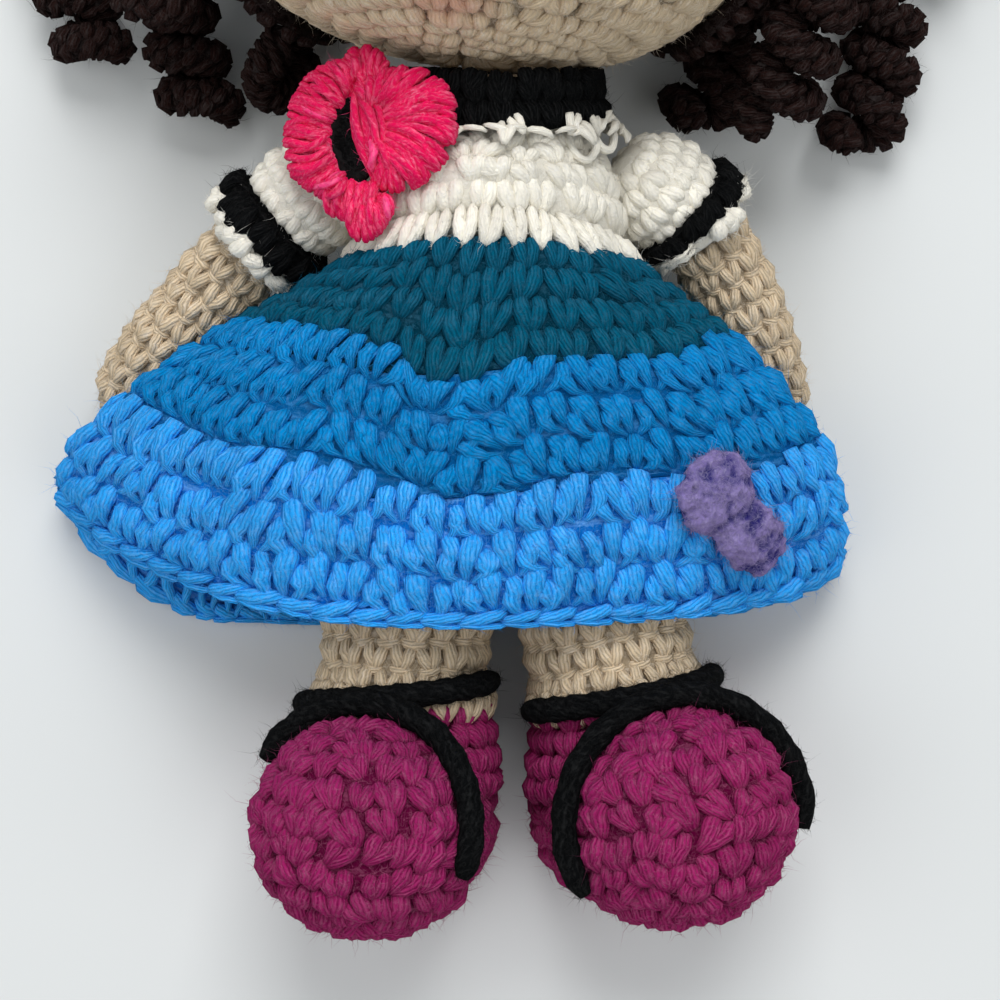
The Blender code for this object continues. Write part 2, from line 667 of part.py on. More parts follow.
def make_torso(materials):
    torso = shell("torso", torso_rings(0, ROUND_SIDES), torso_rings(BODY_WALL, ROUND_SIDES), materials["white_yarn"])
    for side in SIDES:
        cut(torso, ball_cutter(f"shoulder_seat_{side}", SLEEVE_RADIUS + SEAT_EASE, shoulder_place(side)))
        cut(torso, ball_cutter(f"hip_seat_{side}", LEG_RADIUS + SEAT_EASE, hip_place(side)))
    cut(torso, table_cutter("torso_table", Vector((0, 0, 0)), TORSO_DEPTH))
    way = neck_way()
    across = Vector((1, 0, 0))
    up = across.cross(way)
    filling = torso_rings(BODY_WALL + 2 * SEAM, ROUND_SIDES)
    bore = NECK_RADIUS - BODY_WALL - SEAM
    top = section(NECK_BASE + way * (NECK_LENGTH - SEAM * 2), across, up, bore, bore, ROUND_SIDES)
    seam = section(NECK_BASE, across, up, bore, bore, ROUND_SIDES)
    skinned("torso_stuffing", coarser([top, seam] + filling[1:]), materials["stuffing_fibre"])
    heights = (SEAM, NECK_LENGTH - 2 * SEAM)
    outer = [section(NECK_BASE + way * h, across, up, NECK_RADIUS, NECK_RADIUS, ROUND_SIDES) for h in heights]
    wall = NECK_RADIUS - BODY_WALL
    inner = [section(NECK_BASE + way * h, across, up, wall, wall, ROUND_SIDES) for h in heights]
    shell("neck", outer, inner, materials["skin_yarn"])
    make_collar(way, across, up, materials)


def make_collar(way, across, up, materials):
    """A band round the neck's seam that flares over the shoulders."""
    top = NECK_LENGTH - 2 * SEAM
    outer, inner = [], []
    for share in COLLAR_ROWS_SHARE:
        height = top - COLLAR_HEIGHT * share
        bore = NECK_RADIUS + 2 * SEAM + COLLAR_FLARE * share**2
        wall = COLLAR_TOP_WALL + (COLLAR_LOW_WALL - COLLAR_TOP_WALL) * share
        roll = wall * (COLLAR_ROLL_SHARE if share in (0, 1) else 1)
        outer.append(section(NECK_BASE + way * height, across, up, bore + roll, bore + roll, ROUND_SIDES))
        inner.append(section(NECK_BASE + way * height, across, up, bore, bore, ROUND_SIDES))
    shell("collar", outer, inner, materials["black_yarn"])


# Arms


def arm_controls(side):
    """The arm's axis from the shoulder's pivot, in the shoulder's frame."""
    sign = SIDES[side]
    bend, end = ARM_BEND_SHARES[side], ARM_END_SHARES[side]
    hand_rise = ARM_RADIUS * ARM_SHARES[5][1] + HAND_LIFT
    return (
        Vector((0, 0, 0)),
        Vector((sign * bend[0] * ARM_REACH, bend[1] * ARM_REACH, ARM_BEND_RISE - SHOULDER_RISE)),
        Vector((sign * end[0] * ARM_REACH, end[1] * ARM_REACH, hand_rise - SHOULDER_RISE)),
    )


def make_arm(side, materials):
    carrier = empty_at(f"shoulder_{side}", shoulder_place(side))
    controls = arm_controls(side)
    outer = swept(controls, ARM_SHARES, ARM_RADIUS, ARM_RADIUS, 0, ARM_SIDES)
    inner = swept(controls, ARM_SHARES, ARM_RADIUS, ARM_RADIUS, ARM_WALL, ARM_SIDES)
    shell(f"arm_{side}", outer, inner, materials["skin_yarn"], carrier)
    filling = coarser(swept(controls, ARM_SHARES, ARM_RADIUS, ARM_RADIUS, ARM_WALL + SEAM, ARM_SIDES))
    skinned(f"arm_stuffing_{side}", filling, materials["stuffing_fibre"], carrier)
    along = (controls[1] - controls[0]).normalized()
    across = along.cross(Vector((0, 0, 1))).normalized()
    up = across.cross(along)
    make_sleeve(side, along, across, up, carrier, materials)
    make_cuff(side, controls, carrier, materials)


def make_sleeve(side, along, across, up, carrier, materials):
    """A puffed sleeve: a ball about the shoulder's pivot, open toward the cuff."""
    bore = SLEEVE_RADIUS - CLOTHES_WALL
    mouth = math.asin((ARM_RADIUS + SEAM) / bore)
    angles = [math.pi - (math.pi - mouth) * i / 7 for i in range(8)]

    def ball(radius):
        return [
            section(
                along * radius * math.cos(a),
                across,
                up,
                0 if i == 0 else radius * math.sin(a),
                0 if i == 0 else radius * math.sin(a),
                LIMB_SIDES,
            )
            for i, a in enumerate(angles)
        ]

    shell(f"sleeve_{side}", ball(SLEEVE_RADIUS), ball(bore), materials["white_yarn"], carrier)


def make_cuff(side, controls, carrier, materials):
    """The black band round the arm and the white scalloped edge below it."""

    def ring_at(distance, radius, scallop=0.0):
        length = sum((bezier(controls, (i + 1) / 32) - bezier(controls, i / 32)).length for i in range(32))
        share = distance / length
        centre = bezier(controls, share)
        along = (bezier(controls, share + 0.02) - centre).normalized()
        across = along.cross(Vector((0, 0, 1))).normalized()
        up = across.cross(along)
        spots = []
        for k in range(2 * CUFF_EDGE_SCALLOPS):
            angle = math.pi * k / CUFF_EDGE_SCALLOPS
            reach = radius + (scallop if k % 2 == 0 else 0)
            spots.append(centre + (across * math.cos(angle) + up * math.sin(angle)) * reach)
        return spots

    bore = ARM_RADIUS + SEAM
    end = CUFF_START + CUFF_HEIGHT
    corner = (CUFF_RADIUS - bore) * CUFF_CORNER_SHARE
    heights = [(CUFF_START, -corner), (CUFF_START + corner, 0), (end - corner, 0), (end, -corner)]
    outer = [ring_at(h, CUFF_RADIUS + d) for h, d in heights]
    inner = [ring_at(h, bore) for h, d in heights]
    shell(f"cuff_{side}", outer, inner, materials["black_yarn"], carrier)
    first, last = end + SEAM, end + SEAM + CUFF_EDGE_HEIGHT
    outer = [ring_at(h, CUFF_EDGE_RADIUS + d, CUFF_EDGE_SCALLOP) for h, d in ((first, 0), (last, -corner))]
    inner = [ring_at(h, bore) for h in (first, last)]
    shell(f"cuff_edge_{side}", outer, inner, materials["white_yarn"], carrier)


# Legs


def foot_controls(side):
    """The foot's axis from heel to toe, in the hip's frame: it leans outward by the toe-out angle."""
    lean = math.radians(TOE_OUT_DEG[side]) * SIDES[side]
    way = Vector((math.sin(lean), 0, math.cos(lean)))
    heel_axis = Vector((0, -LEG_DROP, 0))
    heel = heel_axis - way * (LEG_RISE + FLAT_DEPTH) / way.z
    return heel, heel + way * FOOT_LENGTH


def foot_rings(side, inset):
    controls = foot_controls(side)
    return swept(controls, FOOT_SHARES, FOOT_WIDTH / 2, FOOT_HEIGHT / 2, inset, LIMB_SIDES, closed_start=True)


def leg_rings(radius, closed, end):
    """The leg's rings from its round top down its straight tube."""
    across, up = Vector((1, 0, 0)), Vector((0, 0, 1))
    angles = [90] * closed + LEG_TOP_DEG
    rings = []
    for a in angles:
        rise, half = radius * math.sin(math.radians(a)), radius * math.cos(math.radians(a))
        rings.append(section(Vector((0, rise, 0)), across, up, half if a < 90 else 0, half, LIMB_SIDES))
    for share in LEG_ROWS_SHARE:
        rings.append(section(Vector((0, -end * share, 0)), across, up, radius, radius, LIMB_SIDES))
    return rings


def make_leg(side, materials):
    splay = Matrix.Rotation(math.radians(LEG_SPLAY_DEG[side] * SIDES[side]), 4, "Z")
    hip = hip_place(side)
    carrier = empty_at(f"hip_{side}", hip, splay)
    bore = LEG_RADIUS - BODY_WALL
    leg = shell(
        f"leg_{side}",
        leg_rings(LEG_RADIUS, False, LEG_DROP),
        leg_rings(bore, False, LEG_DROP),
        materials["skin_yarn"],
        carrier,
    )
    outline = skinned(f"shoe_outline_{side}", foot_rings(side, -SEAM), None, carrier)
    cut(leg, hidden_cutter(outline))
    filling = skinned(
        f"leg_stuffing_{side}", coarser(leg_rings(bore - SEAM, True, LEG_DROP)), materials["stuffing_fibre"], carrier
    )
    hollow = skinned(f"shoe_hollow_{side}", foot_rings(side, BODY_WALL), None, carrier)
    cut(filling, hidden_cutter(hollow))
    shoe = nested_shells(f"shoe_{side}", foot_rings(side, 0), foot_rings(side, BODY_WALL), carrier)
    shoe.data.materials.append(materials["magenta_yarn"])
    cut(shoe, rod_cutter(f"ankle_bore_{side}", bore + SEAM, Vector((0, -LEG_DROP, 0)), Vector((0, 0, 0)), carrier))
    heel = (carrier.matrix_world @ foot_controls(side)[0]).xyz
    cut(shoe, table_cutter(f"heel_table_{side}", heel, FOOT_WIDTH))
    skinned(
        f"shoe_stuffing_{side}",
        coarser(foot_rings(side, BODY_WALL + SEAM)),
        materials["stuffing_fibre"],
        carrier,
    )
    make_straps(side, carrier, materials)


def make_straps(side, carrier, materials):
    """The instep strap goes round the back of the toe ball, and the ankle strap across the leg above it."""
    sign = SIDES[side]
    heel, toe = foot_controls(side)
    along = (toe - heel).normalized()
    up = Vector((0, 1, 0))
    inward = along.cross(up) * sign
    clear = STRAP_RADIUS + STRAP_EASE
    first, last = INSTEP_DEG[side]
    points = []
    for i in range(17):
        angle = math.radians(first + (last - first) * i / 16)
        mix = (1 - math.cos(math.pi * i / 16)) / 2
        share = INSTEP_SHARES[side][0] + (INSTEP_SHARES[side][1] - INSTEP_SHARES[side][0]) * mix
        wide = float(np.interp(share, [row[0] for row in FOOT_SHARES], [row[1] for row in FOOT_SHARES]))
        half_wide, half_high = wide * FOOT_WIDTH / 2 + clear, wide * FOOT_HEIGHT / 2 + clear
        place = heel.lerp(toe, share)
        points.append(place + inward * half_wide * math.cos(angle) + up * half_high * math.sin(angle))
    cord(f"instep_strap_{side}", points, STRAP_RADIUS, materials["black_yarn"], carrier)
    half = LEG_RADIUS + clear
    line = -LEG_DROP + FOOT_HEIGHT / 2 + clear + ANKLE_STRAP_ABOVE
    points = []
    for i in range(15):
        angle = math.radians(ANKLE_STRAP_DEG[0] + (ANKLE_STRAP_DEG[1] - ANKLE_STRAP_DEG[0]) * i / 14)
        points.append(Vector((-sign * half * math.cos(angle), line, half * math.sin(angle))))
    cord(f"ankle_strap_{side}", points, STRAP_RADIUS, materials["black_yarn"], carrier)


# Skirt


def smooth_step(low, high, value):
    share = min(max((value - low) / (high - low), 0), 1)
    return share * share * (3 - 2 * share)


def eased_power(value, power):
    """A power of a share, without the cusp at zero."""
    ease = 0.03
    low, high = ease ** (power / 2), (1 + ease) ** (power / 2)
    return ((value * value + ease) ** (power / 2) - low) / (high - low)


def between_sides(values, cosine):
    """A value for the left side and one for the right, mixed round the skirt."""
    return values["right"] + (values["left"] - values["right"]) * (1 + cosine) / 2


def skirt_middle(angle, share):
    """The middle of the skirt's fabric: the angle goes round from its left fold over the front."""
    cosine, sine = math.cos(angle), math.sin(angle)
    side = "left" if cosine >= 0 else "right"
    waist_share = (TORSO_TOP - SKIRT_WAIST_Y) / TORSO_LENGTH
    ease = SKIRT_WAIST_EASE + SKIRT_THICKNESS / 2
    waist_wide = torso_half(waist_share, 1) + ease
    waist_deep = torso_half(waist_share, 2) + ease
    low = between_sides(SKIRT_TIP_SIDE, cosine)
    widen = 1 - (1 - share) ** between_sides(SKIRT_FLARE_SHARE, cosine)
    x = waist_wide * cosine + (low - waist_wide * cosine) * widen
    middle_hem = SKIRT_HEM_Y if sine >= 0 else SKIRT_BACK_HEM_Y
    tip_y = SKIRT_TIP_Y[side]
    hem_y = tip_y + (middle_hem - tip_y) * eased_power(abs(sine), SKIRT_HEM_CURVE_SHARE[side][sine < 0])
    if sine < 0 and cosine < 0:
        hem_y -= SKIRT_BACK_SWAG * math.sin(2 * angle) ** 2
    waist_y = SKIRT_WAIST_Y - SKIRT_WAIST_DIP * cosine**2
    y = waist_y + (hem_y - waist_y) * share
    edge = TORSO_SEAT_RISE + (SKIRT_TIP_RISE - TORSO_SEAT_RISE) * share**SKIRT_DROOP_SHARE
    fold = SKIRT_FOLD * math.sqrt(1 - abs(cosine) ** 16)
    settle = smooth_step(0, SKIRT_SETTLE_SHARE, share)
    if sine >= 0:
        crest = TORSO_SEAT_RISE + waist_deep + (SKIRT_FRONT_RISE - TORSO_SEAT_RISE - waist_deep) * share**2
        curve = 1 + (between_sides(SKIRT_FRONT_CURVE_SHARE, cosine) - 1) * settle
        ripple = SKIRT_RIPPLE * share**2 * math.sin(SKIRT_RIPPLES * 2 * angle) * sine**2
        z = edge + fold * settle + (crest - edge - fold * settle) * sine**curve + ripple
    else:
        ground = SKIRT_THICKNESS / 2 - FLAT_DEPTH / 5
        bottom = (TORSO_SEAT_RISE - waist_deep) * (1 - settle) + ground * settle
        tuck = 1 - smooth_step(*SKIRT_TUCK_SHARES, abs(cosine))
        depth = -sine * (1 - settle) + tuck * settle
        z = edge - fold * settle + (bottom - edge + fold * settle) * depth
    return Vector((x, y, z))


def skirt_frame(angle, share):
    """The fabric's middle, and its normal, which points out of the skirt."""
    place = skirt_middle(angle, share)
    step = 0.01
    round_way = skirt_middle(angle + step, share) - skirt_middle(angle - step, share)
    high, low = min(share + step, 1), max(share - step, 0)
    down_way = skirt_middle(angle, high) - skirt_middle(angle, low)
    return place, round_way.cross(down_way).normalized()


def skirt_angles():
    """Angles round the skirt, closer together at the two side folds."""
    spread = [math.tau * i / SKIRT_COLUMNS for i in range(SKIRT_COLUMNS)]
    return [a - FOLD_CROWDING_SHARE * math.sin(2 * a) for a in spread]


def tier_edge(share, angle):
    """The colour changes run lower near the middle of the front."""
    if share in (0, 1):
        return share
    return share + TIER_DIP_SHARE * max(math.cos(angle - math.radians(TIER_DIP_DEG)), 0) ** 8


def tier_share(start, end, angle, along):
    """A share of the skirt's length, from a share along the tier."""
    top, low = tier_edge(start, angle), tier_edge(end, angle)
    if start > 0:
        top += TIER_GAP / (SKIRT_WAIST_Y - SKIRT_HEM_Y)
    return top + (low - top) * along


def make_skirt(materials):
    for name, yarn, start, end in SKIRT_TIER_SHARES:
        outer, inner = [], []
        for row in range(TIER_STEPS + 1):
            outer_ring, inner_ring = [], []
            for angle in skirt_angles():
                place, normal = skirt_frame(angle, tier_share(start, end, angle, row / TIER_STEPS))
                for ring, way in ((outer_ring, 1), (inner_ring, -1)):
                    spot = place + normal * (way * SKIRT_THICKNESS / 2)
                    spot.z = max(spot.z, FLOOR)
                    ring.append(spot)
            outer.append(outer_ring)
            inner.append(inner_ring)
        shell(name, outer, inner, materials[yarn])


# Flower and bow


def puff(name, place, half_sizes, turn_deg, material, carrier, sides=12, rows=8):
    """A rounded lobe that is flatter underneath."""
    mesh = bpy.data.meshes.new(name)
    work = bmesh.new()
    bmesh.ops.create_uvsphere(work, u_segments=sides, v_segments=rows, radius=1)
    bmesh.ops.scale(work, vec=half_sizes, verts=work.verts)
    bmesh.ops.rotate(work, cent=(0, 0, 0), matrix=Matrix.Rotation(math.radians(turn_deg), 3, "Z"), verts=work.verts)
    work.to_mesh(mesh)
    work.free()
    mesh.shade_smooth()
    piece = add_piece(name, mesh, material, carrier)
    piece.location = place
    return piece


def make_flower(materials):
    """Looped petals round a black centre, sewn to the chest and leaning over the right shoulder."""
    x = FLOWER_SIDE_SHARE * TORSO_WIDTH / 2
    share = (TORSO_TOP - FLOWER_UP) / TORSO_LENGTH
    lean = math.radians(FLOWER_LEAN_DEG)
    chest = TORSO_SEAT_RISE + torso_half(share, 2)
    rise = chest + FLOWER_THICKNESS / 2 * math.cos(lean) + x * math.tan(-lean) * FLOWER_SINK_SHARE
    turn = Matrix.Rotation(lean, 4, "Y")
    carrier = empty_at("flower_carrier", Vector((x, FLOWER_UP, rise)), turn)
    for name, (across, up), length, width, thick, angle in FLOWER_SHARES:
        sizes = (length * FLOWER_SPAN, width * FLOWER_SPAN, thick * FLOWER_THICKNESS)
        puff(name, (across * FLOWER_SPAN, up * FLOWER_SPAN, 0), sizes, angle, materials["pink_yarn"], carrier)
    bend = []
    for degrees, reach in FLOWER_CRESCENT_POINTS_SHARE:
        angle = math.radians(degrees)
        bend.append(Vector((math.cos(angle), math.sin(angle), 0)) * FLOWER_SPAN * reach)
    half_wide, half_thick = FLOWER_CRESCENT_HALF_SHARE
    rings = swept(
        bend,
        FLOWER_CRESCENT_SHARES,
        FLOWER_SPAN * half_wide,
        FLOWER_THICKNESS * half_thick,
        0,
        ARM_SIDES,
        closed_start=True,
    )
    skinned("flower_petal_left", rings, materials["pink_yarn"], carrier)
    across, up = FLOWER_CENTRE_SHARE
    length, width, thick = FLOWER_CENTRE_HALF_SHARE
    sizes = (length * FLOWER_SPAN, width * FLOWER_SPAN, thick * FLOWER_THICKNESS)
    place = (across * FLOWER_SPAN, up * FLOWER_SPAN, 0)
    puff("flower_centre", place, sizes, FLOWER_CENTRE_DEG, materials["black_yarn"], carrier)


def make_bow(materials):
    """A felted bow of two lobes that lies on the skirt's front."""
    ends = [skirt_frame(math.pi * (0.5 - a), s) for a, s in zip(BOW_ANGLE_SHARES, BOW_LENGTH_SHARES)]
    lift = SKIRT_THICKNESS / 2 + BOW_EASE + BOW_THICKNESS / 2
    start, end = (place + normal * lift for place, normal in ends)
    out = (ends[0][1] + ends[1][1]).normalized()
    centre, along = (start + end) / 2, (end - start).normalized()
    across = along.cross(out).normalized()
    up = across.cross(along)
    rings = []
    for share, wide, thick in BOW_SHARES:
        place = centre + along * BOW_LENGTH * (share - 0.5)
        rings.append(section(place, across, up, wide * BOW_WIDTH / 2, thick * BOW_THICKNESS / 2, ARM_SIDES))
    skinned("felt_bow", rings, materials["purple_felt"])


def main():
    for old in list(bpy.data.objects):
        bpy.data.objects.remove(old)
    materials = make_materials()
    make_torso(materials)
    make_skirt(materials)
    make_head(materials)
    for side in SIDES:
        make_arm(side, materials)
        make_leg(side, materials)
    make_flower(materials)
    make_bow(materials)


if __name__ == "__main__":
    main()
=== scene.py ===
"""Looks of a crocheted doll that lies on its back.

Each visible fabric is a cloth surface under rows of small closed strands of yarn, a pair or a cluster
of them for every stitch, as the hook works them. Metres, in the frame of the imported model.
"""

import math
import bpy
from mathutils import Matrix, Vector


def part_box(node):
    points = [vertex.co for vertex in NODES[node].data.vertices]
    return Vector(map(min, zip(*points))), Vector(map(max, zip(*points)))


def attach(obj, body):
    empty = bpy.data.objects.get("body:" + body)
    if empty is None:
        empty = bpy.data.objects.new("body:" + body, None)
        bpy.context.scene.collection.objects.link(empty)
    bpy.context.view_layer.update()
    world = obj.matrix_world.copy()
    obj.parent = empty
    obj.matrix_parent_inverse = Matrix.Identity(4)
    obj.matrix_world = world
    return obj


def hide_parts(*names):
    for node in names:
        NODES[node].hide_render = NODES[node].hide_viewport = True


bl_info = {
    "name": "Crocheted doll",
    "version": (1, 0, 0),
    "blender": (4, 5, 0),
    "location": "3D View > Sidebar > Doll",
    "description": "Stitches, yarns, hair and stage for a crocheted doll, around its packed solids",
    "category": "Object",
}

import bmesh
import bpy
import numpy as np
from mathutils import Matrix, Vector

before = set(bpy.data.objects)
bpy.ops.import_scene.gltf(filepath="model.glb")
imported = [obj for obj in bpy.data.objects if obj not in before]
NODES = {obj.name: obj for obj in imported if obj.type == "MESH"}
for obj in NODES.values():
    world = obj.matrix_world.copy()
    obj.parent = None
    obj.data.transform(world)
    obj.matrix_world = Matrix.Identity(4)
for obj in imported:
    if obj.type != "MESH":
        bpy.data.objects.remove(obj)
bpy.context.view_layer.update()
MM = 0.001
SIDES = {"left": 1, "right": -1}

# Head, in its own tilted frame
HEAD_MIDDLE = np.array((1.0, 69.295, 50.4)) * MM
HEAD_HALF = np.array((55.7, 47.5, 46.0)) * MM
HEAD_FULLNESS = 2.4
HEAD_TILT = math.radians(-6.5)
CAP_BACK = math.radians(56)
CAP_REACH = math.radians(105)
CAP_INNER = 0.9 * MM
CAP_OUTER = 4.9 * MM
NAPE_RADIUS = 39.2 * MM
BLUSH = [((-8.5, 26.5, 78.0), 13.0), ((26.0, 41.0, 89.0), 12.0)]

# Neck and torso
NECK_BASE = np.array((1.0, 16.0, 40.0)) * MM
NECK_WAY = np.array((0.0, 0.981487, 0.191529))
TORSO_SHARES = np.array([
    (0.00, 0.604, 0.546, 1.00, 1.0),
    (0.06, 0.628, 0.590, 0.83, 0.9),
    (0.11, 0.680, 0.690, 0.58, 0.6),
    (0.17, 0.790, 0.880, 0.25, 0.3),
    (0.24, 0.895, 1.000, 0.00, 0.0),
    (0.33, 0.955, 0.955, 0.00, 0.0),
    (0.44, 0.965, 0.872, 0.00, 0.0),
    (0.58, 1.000, 0.862, 0.00, 0.0),
    (0.74, 0.985, 0.835, 0.00, 0.0),
    (0.86, 0.915, 0.765, 0.00, 0.0),
    (0.95, 0.740, 0.610, 0.00, 0.0),
    (0.99, 0.420, 0.340, 0.00, 0.0),
])
TORSO_TOP, TORSO_LENGTH, TORSO_RISE = 16.0 * MM, 66.0 * MM, 31.0 * MM
TORSO_HALF_WIDE, TORSO_HALF_DEEP = 28.5 * MM, 31.5 * MM

# Arms
SHOULDER = {"left": (33.826, -0.6, 31.5), "right": (-36.572, -1.8, 31.5)}
ARM_BEND = {"left": (19.6, -14.0, -8.5), "right": (-28.0, -22.4, -8.5)}
ARM_END = {"left": (24.08, -48.16, -21.34), "right": (-39.2, -43.68, -21.34)}
ARM_SHARES = np.array([
    (0.00, 0.90), (0.14, 0.98), (0.34, 0.97), (0.56, 0.97), (0.74, 1.02), (0.87, 1.04), (0.95, 0.80), (0.99, 0.42),
])
ARM_RADIUS, SLEEVE_RADIUS = 9.0 * MM, 11.5 * MM
CUFF_START, CUFF_HEIGHT, CUFF_RADIUS = 4.4 * MM, 6.6 * MM, 13.1 * MM

# Legs and shoes
HIP = {"left": (19.0, -62.19, 20.6), "right": (-16.0, -62.19, 20.6)}
LEG_SPLAY = {"left": math.radians(9.5), "right": math.radians(-2.5)}
HEEL = {"left": (-9.84, -64.0, -21.1), "right": (5.65, -64.0, -21.1)}
TOE = {"left": (17.42, -64.0, 37.36), "right": (-11.04, -64.0, 41.2)}
LEG_RADIUS, LEG_DROP = 17.0 * MM, 64.0 * MM
FOOT_SHARES = np.array([
    (0.00, 0.00, 0.00), (0.03, 0.42, 0.44), (0.09, 0.66, 0.68), (0.18, 0.79, 0.82), (0.30, 0.83, 0.85),
    (0.44, 0.92, 0.93), (0.58, 1.00, 1.00), (0.72, 0.97, 0.97), (0.85, 0.80, 0.80), (0.94, 0.52, 0.52),
    (1.00, 0.00, 0.00),
])
FOOT_HALF_WIDE, FOOT_HALF_HIGH = 22.8 * MM, 21.7 * MM
STRAP_RADIUS, STRAP_CLEAR = 2.5 * MM, 2.9 * MM
INSTEP_SHARES = {"left": (0.64, 0.78), "right": (0.78, 0.62)}
INSTEP_DEG = {"left": (-26, 198), "right": (-18, 152)}
ANKLE_DEG = (22, 186)
ANKLE_LINE = -34.2 * MM
# How far below that line the straps have slipped, at the inner and the outer side of each leg
ANKLE_DROPS = {"left": (5.5 * MM, 5.0 * MM), "right": (0.8 * MM, 8.5 * MM)}

# Skirt
SKIRT_THICKNESS = 2.8 * MM
SKIRT_WAIST, SKIRT_WAIST_DIP, SKIRT_HEM, SKIRT_BACK_HEM = -12.8 * MM, 4.6 * MM, -86.0 * MM, -88.0 * MM
SKIRT_SWAG, SKIRT_RISE, SKIRT_FOLD, SKIRT_RIPPLE = 7.0 * MM, 46.5 * MM, 2.6 * MM, 1.4 * MM
SKIRT_TIP_SIDE = {"left": 72.0 * MM, "right": -90.0 * MM}
SKIRT_TIP_Y = {"left": -74.6 * MM, "right": -60.0 * MM}
SKIRT_TIP_RISE = 4.2 * MM
SKIRT_FLARE = {"left": 2.2, "right": 1.55}
SKIRT_HEM_CURVE = {"left": (0.6, 0.6), "right": (1.4, 1.35)}
SKIRT_FRONT_CURVE = {"left": 1.3, "right": 2.0}
SKIRT_TIERS = [("top", 0.0, 0.29), ("middle", 0.29, 0.61), ("hem", 0.61, 1.0)]
TIER_GAP = 0.2 * MM
# Where the yarn changes, as degrees round the skirt and shares from the waist to the hem
TEAL_EDGE = [
    (-180, 0.24), (-90, 0.27), (0, 0.20), (26, 0.21), (45, 0.28), (68, 0.295), (79, 0.30), (86, 0.345),
    (92, 0.372), (98, 0.35), (103, 0.283), (112, 0.245), (124, 0.233), (150, 0.20), (180, 0.24),
]
BLUE_EDGE = [
    (-180, 0.55), (-90, 0.61), (0, 0.56), (21, 0.557), (36, 0.588), (52, 0.615), (62, 0.59), (73, 0.605),
    (81, 0.65), (90, 0.655), (97, 0.62), (103, 0.585), (113, 0.56), (130, 0.575), (148, 0.545), (165, 0.535),
    (180, 0.55),
]

# How far under a fabric's face its ground and its stitches' middles lie
BASE_DEPTH, STITCH_DEPTH = 1.3 * MM, 1.6 * MM

# Ringlets: where each leaves the cap, which way, then its axis's middle and end
RINGLETS = {
    "left_front": ((60.38, 56.62, 53.51), (0.9857, -0.1667, 0.0238), (63.38, 34.76, 47.38), (56.70, 13.04, 25.20)),
    "left_side": ((59.80, 71.62, 32.68), (0.9613, -0.0099, -0.2754), (93.46, 40.33, 7.06), (73.41, 8.02, 9.07)),
    "left_back": ((52.62, 95.41, 29.53), (0.7978, 0.4939, -0.3456), (104.60, 86.00, 7.06), (95.69, 41.44, 9.07)),
    "left_nape": ((49.43, 42.68, 23.12), (0.7579, -0.4138, -0.5043), (51.13, 30.30, 7.06), (38.88, 12.48, 9.07)),
    "right_front": ((-59.81, 68.02, 53.60), (-0.9993, 0.0276, 0.0248), (-71.41, 52.58, 47.88), (-64.73, 32.53, 31.25)),
    "right_side": ((-58.70, 70.20, 36.94), (-0.9808, 0.0572, -0.1866), (-68.07, 43.67, 7.06), (-56.93, 9.70, 9.07)),
    "right_back": ((-47.36, 102.77, 31.35), (-0.7590, 0.5745, -0.3064), (-108.17, 83.78, 7.06), (-80.32, 26.96, 9.07)),
    "right_nape": ((-40.29, 33.55, 26.35), (-0.5707, -0.7145, -0.4047), (-48.02, 32.53, 7.06), (-37.99, 18.05, 9.07)),
}
CURL_RADIUS, CURL_TUBE, CURL_PITCH, CURL_FIRST = 4.9 * MM, 3.7 * MM, 9.6 * MM, 3.0 * MM
CURL_LOWEST, CURL_LEAD, CURL_STEPS = 9.2 * MM, 9.4 * MM, 24

# Flower: outlines of each petal, from its inner edge by the centre to its outer edge, in mm on the chest
PETALS = {
    "right": (
        [(-23.2, 12.8), (-21.6, 11.4), (-20.6, 9.2), (-20.8, 6.6), (-22.0, 4.6)],
        [(-25.6, 16.2), (-20.6, 18.6), (-14.6, 19.0), (-9.2, 16.6), (-6.2, 12.0), (-5.8, 6.4), (-8.2, 0.6),
         (-13.4, -3.6), (-19.6, -4.0), (-22.8, -1.2)],
        34, 4.6,
    ),
    "right_edge": (
        [(-25.2, 14.6), (-23.2, 15.2)],
        [(-21.6, -1.8), (-19.6, -0.4)],
        7, 3.9,
    ),
    "left": (
        [(-25.8, 17.2), (-28.4, 12.1), (-30.3, 7.4), (-29.9, 2.7), (-27.1, -1.6)],
        [(-25.4, 21.4), (-32.0, 20.6), (-36.6, 17.0), (-38.9, 11.4), (-39.3, 5.2), (-37.4, -0.6), (-31.6, -4.6)],
        24, 4.0,
    ),
    "top": ([(-26.4, 15.6), (-20.4, 15.2)], [(-28.6, 20.2), (-25.6, 23.6), (-21.6, 23.2), (-19.2, 20.2)], 9, 2.6),
    "bottom": ([(-29.2, -1.6), (-21.6, -2.8)], [(-30.6, -7.6), (-26.6, -9.0), (-22.4, -7.0)], 9, 2.6),
    "tip": ([(-25.6, -5.8), (-19.4, -5.0)], [(-27.0, -11.0), (-24.2, -13.2), (-21.0, -12.0), (-18.4, -8.2)], 8, 2.8),
}
FLOWER_PLANE = (55.2, -25.9, 0.445)  # rise over the table, at this x, and its slope


